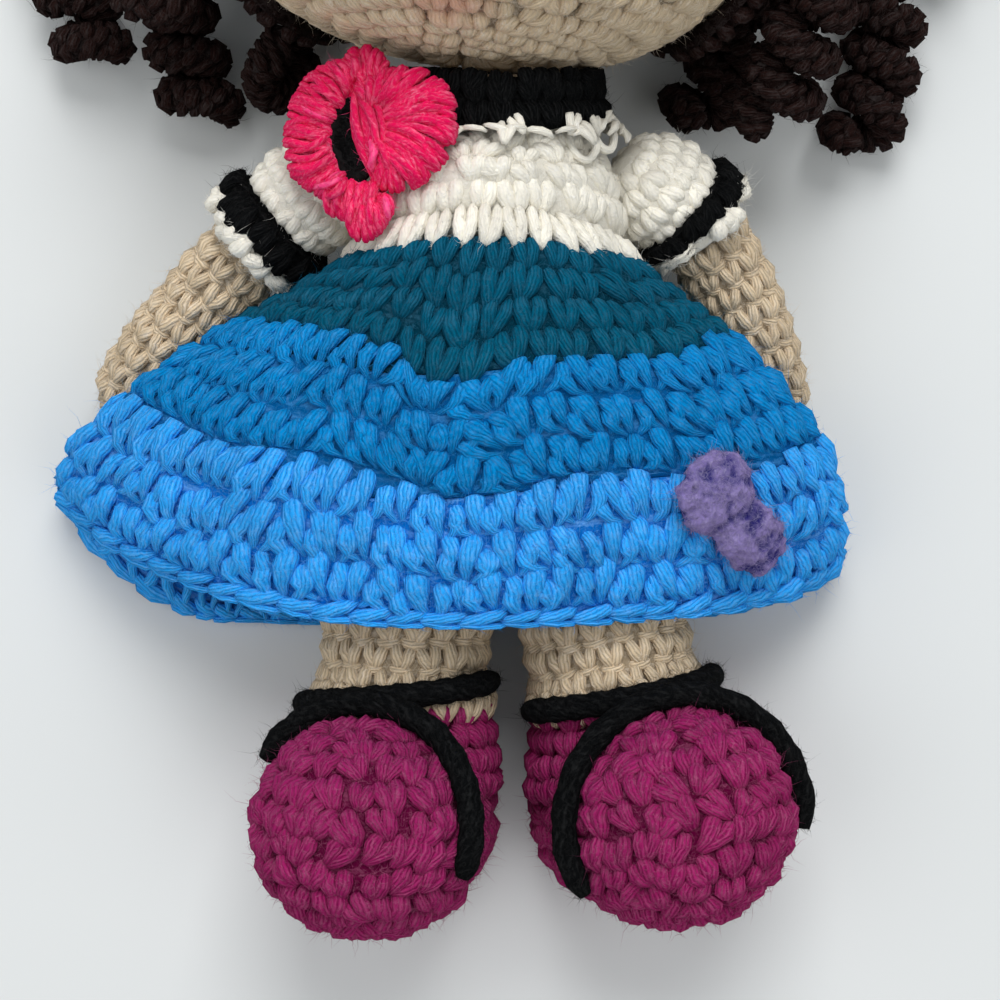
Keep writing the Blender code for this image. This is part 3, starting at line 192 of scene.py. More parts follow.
class DollSizes(bpy.types.PropertyGroup):
    """Sizes of the yarn and the stitches."""

    stitch_width: bpy.props.FloatProperty(
        name="Stitch width", description="Width of a single crochet stitch", default=6.0 * MM, unit="LENGTH"
    )
    stitch_height: bpy.props.FloatProperty(
        name="Stitch height", description="Height of a round of single crochet", default=5.4 * MM, unit="LENGTH"
    )
    leaf_width: bpy.props.FloatProperty(
        name="Leaf width", description="Width of a tall stitch on the skirt", default=6.5 * MM, unit="LENGTH"
    )
    leaf_height: bpy.props.FloatProperty(
        name="Leaf height", description="Height of a tall stitch on the skirt", default=10.8 * MM, unit="LENGTH"
    )
    yarn_radius: bpy.props.FloatProperty(
        name="Yarn radius", description="Radius of the yarn where a stitch is fullest", default=1.3 * MM, unit="LENGTH"
    )
    halo: bpy.props.FloatProperty(
        name="Halo", description="How many loose fibres stand out of the yarn", default=1.0, min=0.0, max=2.0
    )


def seen(name, colour):
    return bpy.props.FloatVectorProperty(
        name=name, description=f"{name} as seen", default=colour, size=3, subtype="COLOR_GAMMA", min=0, max=1
    )


class DollColours(bpy.types.PropertyGroup):
    """Colours of the yarns, as seen."""

    skin: seen("Beige yarn", (0.87, 0.78, 0.65))
    white: seen("White yarn", (1.0, 0.98, 0.925))
    black: seen("Black yarn", (0.035, 0.04, 0.045))
    teal: seen("Teal yarn", (0.00, 0.37, 0.49))
    mid_blue: seen("Blue yarn", (0.00, 0.54, 0.82))
    light_blue: seen("Light blue yarn", (0.17, 0.67, 1.00))
    magenta: seen("Magenta yarn", (0.61, 0.13, 0.38))
    pink: seen("Pink yarn", (1.0, 0.28, 0.54))
    purple: seen("Purple felt", (0.56, 0.50, 0.73))
    hair: seen("Hair yarn", (0.15, 0.085, 0.075))
    blush: seen("Blush", (0.84, 0.50, 0.44))
    floor: seen("Floor", (0.865, 0.875, 0.875))


# Small tools


def linear(colour):
    """A seen colour as a linear one."""
    shades = [c / 12.92 if c <= 0.04045 else ((c + 0.055) / 1.055) ** 2.4 for c in colour]
    return (*shades, 1.0)


def unit(ways):
    return ways / np.maximum(np.linalg.norm(ways, axis=-1, keepdims=True), 1e-12)


def smooth_step(low, high, value):
    share = np.clip((value - low) / (high - low), 0, 1)
    return share * share * (3 - 2 * share)


def bezier(controls, shares):
    """Points of the curve that three control points draw."""
    a, b, c = (np.asarray(p, float) for p in controls)
    t = np.asarray(shares, float)[:, None]
    return a * (1 - t) ** 2 + b * 2 * t * (1 - t) + c * t**2


def along_line(line, shares):
    """Points of a line of corners, at shares of its length."""
    line = np.asarray(line, float)
    travel = np.concatenate([[0], np.cumsum(np.linalg.norm(np.diff(line, axis=0), axis=1))])
    wanted = np.asarray(shares) * travel[-1]
    return np.stack([np.interp(wanted, travel, line[:, i]) for i in range(line.shape[1])], axis=-1)


def rounded_line(line, count):
    """A smooth line through a few corners."""
    line = np.asarray(line, float)
    if len(line) == 2:
        return along_line(line, np.linspace(0, 1, count))
    padded = np.concatenate([[2 * line[0] - line[1]], line, [2 * line[-1] - line[-2]]])
    points = []
    for t in np.linspace(0, len(line) - 1, count):
        i = min(int(t), len(line) - 2)
        f = t - i
        a, b, c, d = padded[i : i + 4]
        points.append(0.5 * (2 * b + (c - a) * f + (2 * a - 5 * b + 4 * c - d) * f**2 + (3 * b - a - 3 * c + d) * f**3))
    return np.array(points)


def turned(points, angle, place):
    """Points turned about Z and set at a place."""
    cosine, sine = math.cos(angle), math.sin(angle)
    spin = np.array(((cosine, sine, 0), (-sine, cosine, 0), (0, 0, 1)))
    return points @ spin + np.asarray(place)


def on_table(points):
    """Points, none below the table."""
    points = np.array(points)
    points[..., 2] = np.maximum(points[..., 2], 0.15 * MM)
    return points


# Cloth and strands


class Cloth:
    """A fabric surface: a grid of points whose columns go round it and whose rows run along it."""

    def __init__(self, points):
        self.points = np.asarray(points, float)
        self.rows, self.columns = self.points.shape[:2]
        round_way = np.roll(self.points, -1, 1) - np.roll(self.points, 1, 1)
        along_way = np.gradient(self.points, axis=0)
        normals = unit(np.cross(round_way, along_way))
        outward = self.points - self.points.mean(1, keepdims=True)
        self.sign = 1 if (normals * outward).sum() >= 0 else -1
        self.normals = normals * self.sign
        steps = np.linalg.norm(np.diff(self.points, axis=0), axis=2).mean(1)
        self.travel = np.concatenate([[0], np.cumsum(steps)])
        self.around = np.linalg.norm(np.roll(self.points, -1, 1) - self.points, axis=2).sum(1)

    @property
    def length(self):
        return self.travel[-1]

    def grown(self, outset):
        """The surface moved outwards."""
        return self.points + self.normals * outset

    def place(self, turn, distance, lift):
        """Points at turns round the cloth, distances along it and lifts over it."""
        column = np.mod(turn, 1.0) * self.columns
        first = np.floor(column).astype(int) % self.columns
        second = (first + 1) % self.columns
        share = (column - np.floor(column))[..., None]
        row = np.interp(distance, self.travel, np.arange(self.rows))
        low = np.clip(np.floor(row).astype(int), 0, self.rows - 2)
        rise = (row - low)[..., None]

        def mixed(grid):
            near = grid[low, first] * (1 - share) + grid[low, second] * share
            far = grid[low + 1, first] * (1 - share) + grid[low + 1, second] * share
            return near * (1 - rise) + far * rise

        return mixed(self.points) + unit(mixed(self.normals)) * lift[..., None]


class Yarn:
    """Gathers closed forms into one mesh, with yarn coordinates: along and round each strand."""

    def __init__(self):
        self.points, self.faces, self.uvs, self.marks, self.count = [], [], [], [], 0

    def add(self, points, faces, uvs, marks, flip=False):
        if flip:
            faces, uvs = faces[:, ::-1], uvs[:, ::-1]
        self.points.append(points)
        self.faces.append(faces + self.count)
        self.uvs.append(uvs)
        self.marks.append(marks)
        self.count += len(points)

    def add_copies(self, points, stitch, tones, flip=False):
        """Many copies of a stitch, given as points of copy and corner."""
        copies, corners = points.shape[:2]
        faces = stitch.faces[None] + (np.arange(copies) * corners)[:, None, None]
        uvs = np.broadcast_to(stitch.uvs[None], (copies, *stitch.uvs.shape)).copy()
        uvs[..., 0] += (np.arange(copies) * 0.37)[:, None, None]
        marks = np.broadcast_to(stitch.marks[None], (copies, *stitch.marks.shape)).copy()
        marks[..., 2] = tones[:, None]
        self.add(
            points.reshape(-1, 3), faces.reshape(-1, 4), uvs.reshape(-1, 4, 2), marks.reshape(-1, 3), flip
        )

    def skin(self, rings, looped=False, flip=False, depth=0.0, plies=1, tone=0.0):
        """A closed form over rings of points: a tube with closed ends, or a loop of rings round a wall."""
        rings = np.asarray(rings, float)
        rows, columns = rings.shape[:2]
        i, k = np.meshgrid(np.arange(rows if looped else rows - 1), np.arange(columns), indexing="ij")
        after, beside = (i + 1) % rows, (k + 1) % columns
        faces = np.stack([i * columns + k, i * columns + beside, after * columns + beside, after * columns + k], -1)
        step = np.linalg.norm(np.diff(rings.mean(1), axis=0), axis=1).mean() / MM
        corners = np.stack([np.stack([x, y], -1) for x, y in ((i, k), (i, k + 1), (i + 1, k + 1), (i + 1, k))], -2)
        faces, uvs = faces.reshape(-1, 4), corners.reshape(-1, 4, 2) * (step, plies / columns)
        if not looped:
            half = np.arange(columns // 2 - 1)
            cap = np.stack([half, columns - 1 - half, columns - 2 - half, half + 1], -1)
            faces = np.concatenate([faces, cap, cap[:, ::-1] + (rows - 1) * columns])
            uvs = np.concatenate([uvs, np.zeros((2 * len(cap), 4, 2))])
        # The depth mark sets painted shade: at its default of 0 the whole form is drawn in its deep colour
        marks = np.zeros((rows * columns, 3))
        marks[:, 0], marks[:, 2] = depth, tone
        self.add(rings.reshape(-1, 3), faces, uvs, marks, flip)

    def piece(self, name, material):
        mesh = bpy.data.meshes.new(name)
        points, faces = np.concatenate(self.points), np.concatenate(self.faces)
        mesh.from_pydata(points, [], faces)
        layer = mesh.uv_layers.new(name="Yarn")
        layer.data.foreach_set("uv", np.concatenate(self.uvs).astype(np.float32).ravel())
        marks = mesh.attributes.new("yarn", "FLOAT_VECTOR", "POINT")
        marks.data.foreach_set("vector", np.concatenate(self.marks).astype(np.float32).ravel())
        mesh.shade_smooth()
        mesh.materials.append(material)
        piece = bpy.data.objects.new(name, mesh)
        bpy.context.scene.collection.objects.link(piece)
        return piece


class Stitch:
    """A stitch's strands in a cell one wide and one high, with true thickness. It also holds a single strand."""

    def __init__(self, strands, width=1.0, height=1.0):
        gathered = Yarn()
        for path, radius, sides, flat, plies in strands:
            points, faces, uvs, marks = strand(path, radius, sides, flat, plies)
            gathered.add(points, faces, uvs, marks)
        self.points = np.concatenate(gathered.points)
        self.faces = np.concatenate(gathered.faces)
        self.uvs = np.concatenate(gathered.uvs)
        self.marks = np.concatenate(gathered.marks)
        # Painted shade: the yarn mark falls from the top of the stitch to its bottom, so its low parts are drawn in the
        # deep colour
        rise = self.points[:, 2]
        self.marks[:, 0] = np.clip((rise - rise.min()) / (rise.max() - rise.min()), 0, 1)
        self.width, self.height = width, height


def strand(path, radius, sides=8, flat=1.0, plies=6, groove=0.05):
    """A closed strand along a path of points and thickness shares, with coordinates for its plies."""
    path = np.asarray(path, float)
    centres, widths = path[:, :3], path[:, 3] * radius
    along = unit(np.gradient(centres, axis=0))
    travel = np.concatenate([[0], np.cumsum(np.linalg.norm(np.diff(centres, axis=0), axis=1))])
    up = np.array((0.0, 0.0, 1.0)) if abs(along[0, 2]) < 0.9 else np.array((0.0, 1.0, 0.0))
    angles, rings = math.tau * np.arange(sides) / sides, []
    for centre, way, width in zip(centres, along, widths):
        up = unit(up - way * (up @ way))
        side = np.cross(up, way)
        reach = width * (1 - groove * (np.arange(sides) % 2))
        rings.append(centre + np.outer(np.cos(angles) * reach * flat, side) + np.outer(np.sin(angles) * reach, up))
    points = np.concatenate(rings)
    rows = len(path)
    i, k = np.meshgrid(np.arange(rows - 1), np.arange(sides), indexing="ij")
    beside = (k + 1) % sides
    faces = np.stack([i * sides + k, i * sides + beside, (i + 1) * sides + beside, (i + 1) * sides + k], -1)
    reach = travel / MM
    uvs = np.stack(
        [np.stack([reach[a], b * plies / sides], -1) for a, b in ((i, k), (i, k + 1), (i + 1, k + 1), (i + 1, k))], -2
    )
    half = np.arange(sides // 2 - 1)
    cap = np.stack([half, sides - 1 - half, sides - 2 - half, half + 1], -1)
    faces = np.concatenate([faces.reshape(-1, 4), cap, cap[:, ::-1] + (rows - 1) * sides])
    uvs = np.concatenate([uvs.reshape(-1, 4, 2), np.full((2 * len(cap), 4, 2), 0.5)])
    marks = np.zeros((len(points), 3))
    # Painted shade: each strand's underside is drawn darker than its upper side
    marks[:, 0] = np.tile(np.clip(0.5 + 0.6 * np.sin(angles), 0, 1), rows)
    return points, faces, uvs, marks


def mirrored(path):
    return [(-x, y, z, w) for x, y, z, w in path]


def vee_stitch(width, height, radius, sides=8, spread=0.27):
    """Single crochet of a plump yarn: two full legs that meet at the bottom of the stitch."""
    leg = [
        (0.03 * width, -0.62 * height, -0.70 * radius, 0.46),
        (0.07 * width, -0.42 * height, 0.10 * radius, 0.78),
        (0.66 * spread * width, -0.10 * height, 0.55 * radius, 1.02),
        (spread * width, 0.20 * height, 0.60 * radius, 1.12),
        (1.04 * spread * width, 0.44 * height, 0.15 * radius, 1.0),
        (0.90 * spread * width, 0.62 * height, -0.70 * radius, 0.60),
    ]
    return Stitch([(path, radius, sides, 1.15, 12) for path in (leg, mirrored(leg))], width, height)


def tulip_stitch(width, height, radius, sides=8):
    """Single crochet of a tighter yarn: two short legs that open over a bar."""
    leg = [
        (0.02 * width, -0.40 * height, -0.30 * radius, 0.60),
        (0.10 * width, -0.18 * height, 0.50 * radius, 0.98),
        (0.21 * width, 0.10 * height, 0.85 * radius, 1.10),
        (0.28 * width, 0.34 * height, 0.50 * radius, 1.00),
        (0.27 * width, 0.58 * height, -0.60 * radius, 0.55),
    ]
    bar = [
        (-0.50 * width, -0.34 * height, -0.60 * radius, 0.60),
        (-0.25 * width, -0.42 * height, 0.20 * radius, 0.95),
        (0.00, -0.45 * height, 0.50 * radius, 1.00),
        (0.25 * width, -0.42 * height, 0.20 * radius, 0.95),
        (0.50 * width, -0.34 * height, -0.60 * radius, 0.60),
    ]
    legs = [(path, 0.98 * radius, sides, 1.1, 10) for path in (leg, mirrored(leg))]
    return Stitch([*legs, (bar, 0.9 * radius, sides, 1.1, 10)], width, height)


def leaf_stitch(width, height, radius):
    """A tall stitch: a shell whose plies meet in a knot at its lower right, between two lobes that lean."""
    knot = np.array((0.12 * width, -0.64 * height))
    strands = []
    for x, y, full, flat, bow, sides, plies in (
        (-0.58, 0.18, 0.88, 1.4, -0.24, 8, 10), (-0.12, 0.60, 1.0, 1.5, -0.06, 8, 12), (0.44, 0.38, 0.88, 1.35, 0.14, 8, 10),
    ):
        reach = np.array((x * width, y * height)) - knot
        side = np.array((-reach[1], reach[0])) * -bow
        path = []
        for t, rise, wide in (
            (0, -0.9, 0.18), (0.16, 0.0, 0.36), (0.40, 0.5, 0.64), (0.66, 0.6, 0.98), (0.87, 0.1, 1.0), (1, -0.9, 0.56),
        ):
            path.append((*(knot + reach * t + side * math.sin(math.pi * t)), rise * radius, wide * full))
        strands.append((path, radius, sides, flat, plies))
    return Stitch(strands, width, height)


def slanted_stitch(width, height, radius, sides=8, slope=1):
    """One loop of a chain: it lies along the edge, and its head rides over the next one's tail."""
    path = [
        (-0.70 * width, -0.34 * slope * height, -0.7 * radius, 0.5),
        (-0.40 * width, -0.22 * slope * height, 0.4 * radius, 0.95),
        (0.00, 0.00, 0.8 * radius, 1.10),
        (0.40 * width, 0.22 * slope * height, 0.6 * radius, 0.95),
        (0.70 * width, 0.32 * slope * height, -0.6 * radius, 0.5),
    ]
    return Stitch([(path, radius, sides, 1.1, 10)], width, height)


def post_stitch(width, height, radius, sides=6):
    """A strand that crosses a narrow band from its rim to its root."""
    path = [
        (-0.52 * width, -0.30 * height, -0.6 * radius, 0.7),
        (-0.18 * width, -0.04 * height, 0.36 * radius, 1.04),
        (0.18 * width, 0.14 * height, 0.36 * radius, 1.04),
        (0.52 * width, 0.34 * height, -0.7 * radius, 0.6),
    ]
    return Stitch([(path, radius, sides, 1.1, 9)], width, height)


def lay(yarn, cloth, stitch, span, seed, keep=None, **how):
    """Rows of stitches over a cloth, from one distance along it to another."""
    rng = np.random.default_rng(seed)
    start, end = span
    inside, upside = how.get("inside", False), how.get("upside", False)
    rows = how.get("rows") or max(int(round((end - start) / stitch.height)), 1)
    step = (end - start) / rows
    turns, middles, widths = [], [], []
    for row in range(rows):
        middle = start + (row + 0.5) * step
        around = np.interp(middle, cloth.travel, cloth.around)
        count = max(int(round(around / stitch.width)), 3)
        turns.append((np.arange(count) + how.get("drift", 0.5) * row) / count)
        middles.append(np.full(count, middle))
        widths.append(np.full(count, 1 / count))
    turns, middles, widths = (np.concatenate(part) for part in (turns, middles, widths))
    wander = how.get("wander", 0.06)
    turns = turns + rng.uniform(-wander, wander, len(turns)) * widths
    middles = middles + rng.uniform(-wander, wander, len(turns)) * step
    if keep is not None:
        chosen = keep(cloth.place(turns, middles, np.zeros(len(turns))))
        turns, middles, widths = turns[chosen], middles[chosen], widths[chosen]
    count = len(turns)
    if not count:
        return
    lean, size = rng.normal(0, how.get("lean", 0.12), count)[:, None], rng.normal(1.0, 0.06, count)[:, None]
    x, y, z = (stitch.points[None, :, i] for i in range(3))
    if upside:
        x, y = -x, -y
    across = (np.cos(lean) * x - np.sin(lean) * y) * size
    along = (np.sin(lean) * x + np.cos(lean) * y) * size
    high = z * size + how.get("lift", 0.0) + rng.normal(0, 0.12 * MM, count)[:, None]
    if inside:
        high = -high
    turn = turns[:, None] + across / stitch.width * widths[:, None]
    distance = middles[:, None] + along * (step / stitch.height)
    points = on_table(cloth.place(turn, distance, high))
    yarn.add_copies(points, stitch, rng.uniform(-1, 1, count), flip=(cloth.sign < 0) != inside)


def add_halo(name, pieces, body, material, slot, fibres, seed, reach=1.2 * MM, keep=None):
    """Loose fibres that lie over the yarn and stand out at its edges, each a thin closed thread."""
    amount = int(fibres * bpy.context.scene.doll_sizes.halo)
    if amount < 1:
        return
    rng = np.random.default_rng(seed)
    feet, outs = [], []
    for piece in pieces:
        count = len(piece.data.vertices)
        read = [np.empty(count * 3) for _ in range(3)]
        piece.data.vertices.foreach_get("co", read[0])
        piece.data.vertex_normals.foreach_get("vector", read[1])
        piece.data.attributes["yarn"].data.foreach_get("vector", read[2])
        spots, normals, marks = (part.reshape(-1, 3) for part in read)
        chosen = marks[:, 0] > 0.4
        if keep is not None:
            chosen &= keep(spots)
        feet.append(spots[chosen])
        outs.append(normals[chosen])
    feet, outs = np.concatenate(feet), np.concatenate(outs)
    points, faces, tones, total = [], [], [], 0
    for share, rings, stretch, bend in ((0.55, 1, 0.85, 0.0), (0.45, 2, 1.9, 0.9)):
        count = int(amount * share)
        pick = rng.integers(len(feet), size=count)
        foot, out = feet[pick] + rng.normal(0, 0.15 * MM, (count, 3)), outs[pick]
        sway = unit(np.cross(out, rng.normal(0, 1, (count, 3))))
        length = stretch * reach * (0.4 + rng.exponential(0.35, count).clip(0, 1.6))[:, None]
        way = unit(sway + out * rng.uniform(-0.1, 0.7, count)[:, None])
        curl = np.cross(way, unit(rng.normal(0, 1, (count, 3)))) * bend
        line = np.stack([foot + (way * t + curl * t**2) * length for t in np.linspace(0, 1, rings + 1)], 1)
        line = on_table(line)
        side = unit(np.cross(way, out + 0.01))
        up = np.cross(way, side)
        around = [side * math.cos(turn) + up * math.sin(turn) for turn in (0, math.tau / 3, -math.tau / 3)]
        rims = [line[:, j, None] + np.stack(around, 1) * (0.040, 0.030)[j] * MM for j in range(rings)]
        points.append(np.concatenate([*rims, line[:, -1:]], 1).reshape(-1, 3))
        shape = [(2, 1, 0)]
        for k in range(3):
            n = (k + 1) % 3
            for j in range(0, 3 * rings - 3, 3):
                shape += [(j + k, j + n, j + 3 + n), (j + k, j + 3 + n, j + 3 + k)]
            shape.append((3 * rings - 3 + k, 3 * rings - 3 + n, 3 * rings))
        corners = 3 * rings + 1
        faces.append((np.array(shape)[None] + (total + np.arange(count) * corners)[:, None, None]).reshape(-1, 3))
        tones.append(np.repeat(rng.uniform(-1, 1, count), corners))
        total += count * corners
    mesh = bpy.data.meshes.new(name)
    mesh.from_pydata(np.concatenate(points), [], np.concatenate(faces))
    layer = mesh.uv_layers.new(name="Yarn")
    layer.data.foreach_set("uv", np.tile((0.0, 0.5), len(mesh.loops)).astype(np.float32))
    marks = np.ones((total, 3))
    marks[:, 2] = np.concatenate(tones)
    mesh.attributes.new("yarn", "FLOAT_VECTOR", "POINT").data.foreach_set("vector", marks.astype(np.float32).ravel())
    mesh.shade_smooth()
    mesh.materials.append(material)
    halo = bpy.data.objects.new(name, mesh)
    bpy.context.scene.collection.objects.link(halo)
    finished(halo, body, slot)


def finished(piece, body, slot, *nodes):
    """Sets a piece on its body and hides the nodes it stands for; the slot is not used."""
    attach(piece, body)
    if nodes:
        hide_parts(*nodes)
    return piece


# Materials


def add_node(tree, kind, inputs=None, **settings):
    made = tree.nodes.new(kind)
    for key, value in settings.items():
        setattr(made, key, value)
    for key, value in (inputs or {}).items():
        if isinstance(value, bpy.types.NodeSocket):
            tree.links.new(value, made.inputs[key])
        else:
            made.inputs[key].default_value = value
    return made


def new_group(name, inputs, outputs):
    """A shader node group with its named sockets, and its two end nodes."""
    tree = bpy.data.node_groups.new(name, "ShaderNodeTree")
    for way, sockets in (("INPUT", inputs), ("OUTPUT", outputs)):
        for label, kind, value in sockets:
            socket = tree.interface.new_socket(name=label, in_out=way, socket_type=kind)
            if value is not None:
                socket.default_value = value
    return tree, tree.nodes.new("NodeGroupInput"), tree.nodes.new("NodeGroupOutput")


def math_node(tree, operation, *values, clamp=False):
    made = add_node(tree, "ShaderNodeMath", dict(enumerate(values)), operation=operation)
    made.use_clamp = clamp
    return made.outputs[0]


def mix_colour(tree, share, first, second, kind="MIX"):
    made = add_node(tree, "ShaderNodeMix", data_type="RGBA", blend_type=kind)
    for socket, value in ((made.inputs[0], share), (made.inputs[6], first), (made.inputs[7], second)):
        if isinstance(value, bpy.types.NodeSocket):
            tree.links.new(value, socket)
        else:
            socket.default_value = value
    return made.outputs[2]


def fibre_group():
    """The plies of each strand, fine fibres along them, and the fuzz that lies over them."""
    found = bpy.data.node_groups.get("Yarn fibres")
    if found:
        return found
    tree, given, result = new_group(
        "Yarn fibres",
        [
            ("Ply", "NodeSocketFloat", 1.0),
            ("Twist", "NodeSocketFloat", 0.22),
            ("Fibre", "NodeSocketFloat", 0.35),
            ("Fuzz", "NodeSocketFloat", 0.6),
            ("Fuzz Scale", "NodeSocketFloat", 1100.0),
        ],
        [
            ("Height", "NodeSocketFloat", None),
            ("Ridge", "NodeSocketFloat", None),
            ("Streaks", "NodeSocketFloat", None),
            ("Fluff", "NodeSocketFloat", None),
            ("Strays", "NodeSocketFloat", None),
        ],
    )
    place = add_node(tree, "ShaderNodeUVMap", uv_map="Yarn")
    parts = add_node(tree, "ShaderNodeSeparateXYZ", {0: place.outputs[0]})
    solid = add_node(tree, "ShaderNodeTexCoord")
    waver = add_node(tree, "ShaderNodeTexNoise", {"Vector": solid.outputs["Object"], "Scale": 420.0, "Detail": 2.0})
    spun = math_node(tree, "MULTIPLY_ADD", parts.outputs[0], given.outputs["Twist"], parts.outputs[1])
    spun = math_node(tree, "MULTIPLY_ADD", waver.outputs[0], 1.1, spun)
    wave = math_node(tree, "ABSOLUTE", math_node(tree, "SINE", math_node(tree, "MULTIPLY", spun, math.pi)))
    ridge = math_node(tree, "POWER", wave, 0.8)
    stretched = add_node(
        tree,
        "ShaderNodeCombineXYZ",
        {0: math_node(tree, "MULTIPLY", parts.outputs[0], 0.45), 1: math_node(tree, "MULTIPLY", spun, 1.7)},
    )
    streaks = add_node(
        tree, "ShaderNodeTexNoise", {"Vector": stretched.outputs[0], "Scale": 1.0, "Detail": 3.0, "Roughness": 0.6}
    )
    fluff = add_node(
        tree,
        "ShaderNodeTexNoise",
        {
            "Vector": solid.outputs["Object"],
            "Scale": given.outputs["Fuzz Scale"],
            "Detail": 4.0,
            "Roughness": 0.7,
            "Distortion": 1.6,
        },
    )
    height = math_node(tree, "MULTIPLY", ridge, given.outputs["Ply"])
    height = math_node(tree, "MULTIPLY_ADD", streaks.outputs[0], given.outputs["Fibre"], height)
    height = math_node(tree, "MULTIPLY_ADD", fluff.outputs[0], given.outputs["Fuzz"], height)
    strays = 0.0
    for scale, start in ((300.0, 0.0), (400.0, 3.0), (560.0, 7.0)):
        field = add_node(
            tree,
            "ShaderNodeTexNoise",
            {"Vector": solid.outputs["Object"], "W": start, "Scale": scale, "Detail": 1.5, "Distortion": 0.9},
            noise_dimensions="4D",
        )
        away = math_node(tree, "ABSOLUTE", math_node(tree, "SUBTRACT", field.outputs[0], 0.5))
        line = math_node(tree, "MULTIPLY_ADD", away, -85.0, 1.0, clamp=True)
        strays = math_node(tree, "MAXIMUM", strays, line)
    height = math_node(tree, "MULTIPLY_ADD", strays, 0.35, height)
    for source, target in ((height, 0), (ridge, 1), (streaks.outputs[0], 2), (fluff.outputs[0], 3), (strays, 4)):
        tree.links.new(source, result.inputs[target])
    return tree


def shade_group():
    """A yarn's colour with painted light: painted shade, its deep colour, low between the stitches and the plies, and
    painted highlights, pale, where fibres catch the light.
    """
    found = bpy.data.node_groups.get("Yarn shade")
    if found:
        return found
    tree, given, result = new_group(
        "Yarn shade",
        [
            ("Colour", "NodeSocketColor", (0.8, 0.8, 0.8, 1)),
            ("Deep", "NodeSocketColor", (0.4, 0.4, 0.4, 1)),
            ("Pale", "NodeSocketColor", (0.9, 0.9, 0.9, 1)),
            ("Ridge", "NodeSocketFloat", 1.0),
            ("Streaks", "NodeSocketFloat", 0.5),
            ("Fluff", "NodeSocketFloat", 0.5),
            ("Strays", "NodeSocketFloat", 0.0),
            ("Groove", "NodeSocketFloat", 0.55),
            ("Variation", "NodeSocketFloat", 0.16),
            ("Haze", "NodeSocketColor", (0.9, 0.9, 0.9, 1)),
            ("Stray", "NodeSocketFloat", 0.5),
        ],
        [("Colour", "NodeSocketColor", None)],
    )
    marks = add_node(tree, "ShaderNodeAttribute", attribute_name="yarn")
    parts = add_node(tree, "ShaderNodeSeparateXYZ", {0: marks.outputs["Vector"]})
    # Painted shade: where the yarn mark's first part is low, low in a stitch or on a ground under the stitches, the
    # colour turns deep
    depth = add_node(
        tree,
        "ShaderNodeMapRange",
        {"Value": parts.outputs[0], "From Min": 0.05, "From Max": 0.65, "To Min": 0.0, "To Max": 1.0},
        interpolation_type="SMOOTHSTEP",
    )
    colour = mix_colour(tree, depth.outputs[0], given.outputs["Deep"], given.outputs["Colour"])
    # Painted shade in the valleys between the plies and on the darker streaks
    valley = math_node(tree, "SUBTRACT", 1.0, given.outputs["Ridge"])
    colour = mix_colour(tree, math_node(tree, "MULTIPLY", valley, given.outputs["Groove"]), colour, given.outputs["Deep"])
    light = math_node(tree, "MULTIPLY", math_node(tree, "SUBTRACT", given.outputs["Streaks"], 0.50), 4.0, clamp=True)
    dark = math_node(tree, "MULTIPLY", math_node(tree, "SUBTRACT", 0.48, given.outputs["Streaks"]), 4.0, clamp=True)
    colour = mix_colour(tree, math_node(tree, "MULTIPLY", dark, given.outputs["Groove"]), colour, given.outputs["Deep"])
    fluff = math_node(tree, "MULTIPLY", math_node(tree, "SUBTRACT", given.outputs["Fluff"], 0.52), 2.5, clamp=True)
    # Painted highlights: pale on the bright streaks and the fluff
    colour = mix_colour(tree, math_node(tree, "MULTIPLY", light, 0.7), colour, given.outputs["Pale"])
    colour = mix_colour(tree, math_node(tree, "MULTIPLY", fluff, 0.5), colour, given.outputs["Pale"])
    solid = add_node(tree, "ShaderNodeTexCoord")
    strays = math_node(tree, "MAXIMUM", parts.outputs[1], given.outputs["Strays"])
    colour = mix_colour(tree, math_node(tree, "MULTIPLY", strays, given.outputs["Stray"]), colour, given.outputs["Haze"])
    mottle = add_node(
        tree, "ShaderNodeTexNoise", {"Vector": solid.outputs["Object"], "Scale": 70.0, "Detail": 3.0, "Roughness": 0.6}
    )
    uneven = math_node(tree, "MULTIPLY_ADD", mottle.outputs[0], 2.6, -1.3)
    swing = math_node(tree, "MULTIPLY_ADD", parts.outputs[2], 0.5, uneven)
    value = math_node(tree, "MULTIPLY_ADD", swing, given.outputs["Variation"], 1.0)
    toned = add_node(tree, "ShaderNodeHueSaturation", {"Color": colour, "Value": value})
    tree.links.new(toned.outputs[0], result.inputs[0])
    return tree


def spot_share(tree, centre, radius, softness=1.1):
    """How much a place near a point counts, from 0 far off to 1."""
    solid = add_node(tree, "ShaderNodeTexCoord")
    rough = add_node(tree, "ShaderNodeTexNoise", {"Vector": solid.outputs["Object"], "Scale": 220.0, "Detail": 2.0})
    away = add_node(tree, "ShaderNodeVectorMath", {0: solid.outputs["Object"], 1: centre}, operation="DISTANCE")
    wobble = math_node(tree, "MULTIPLY_ADD", rough.outputs[0], radius * 0.8, away.outputs["Value"])
    share = add_node(
        tree,
        "ShaderNodeMapRange",
        {"Value": wobble, "From Min": radius * 1.4, "From Max": radius * (1.4 - softness), "To Min": 0.0, "To Max": 1.0},
        interpolation_type="SMOOTHSTEP",
    )
    return share.outputs[0]


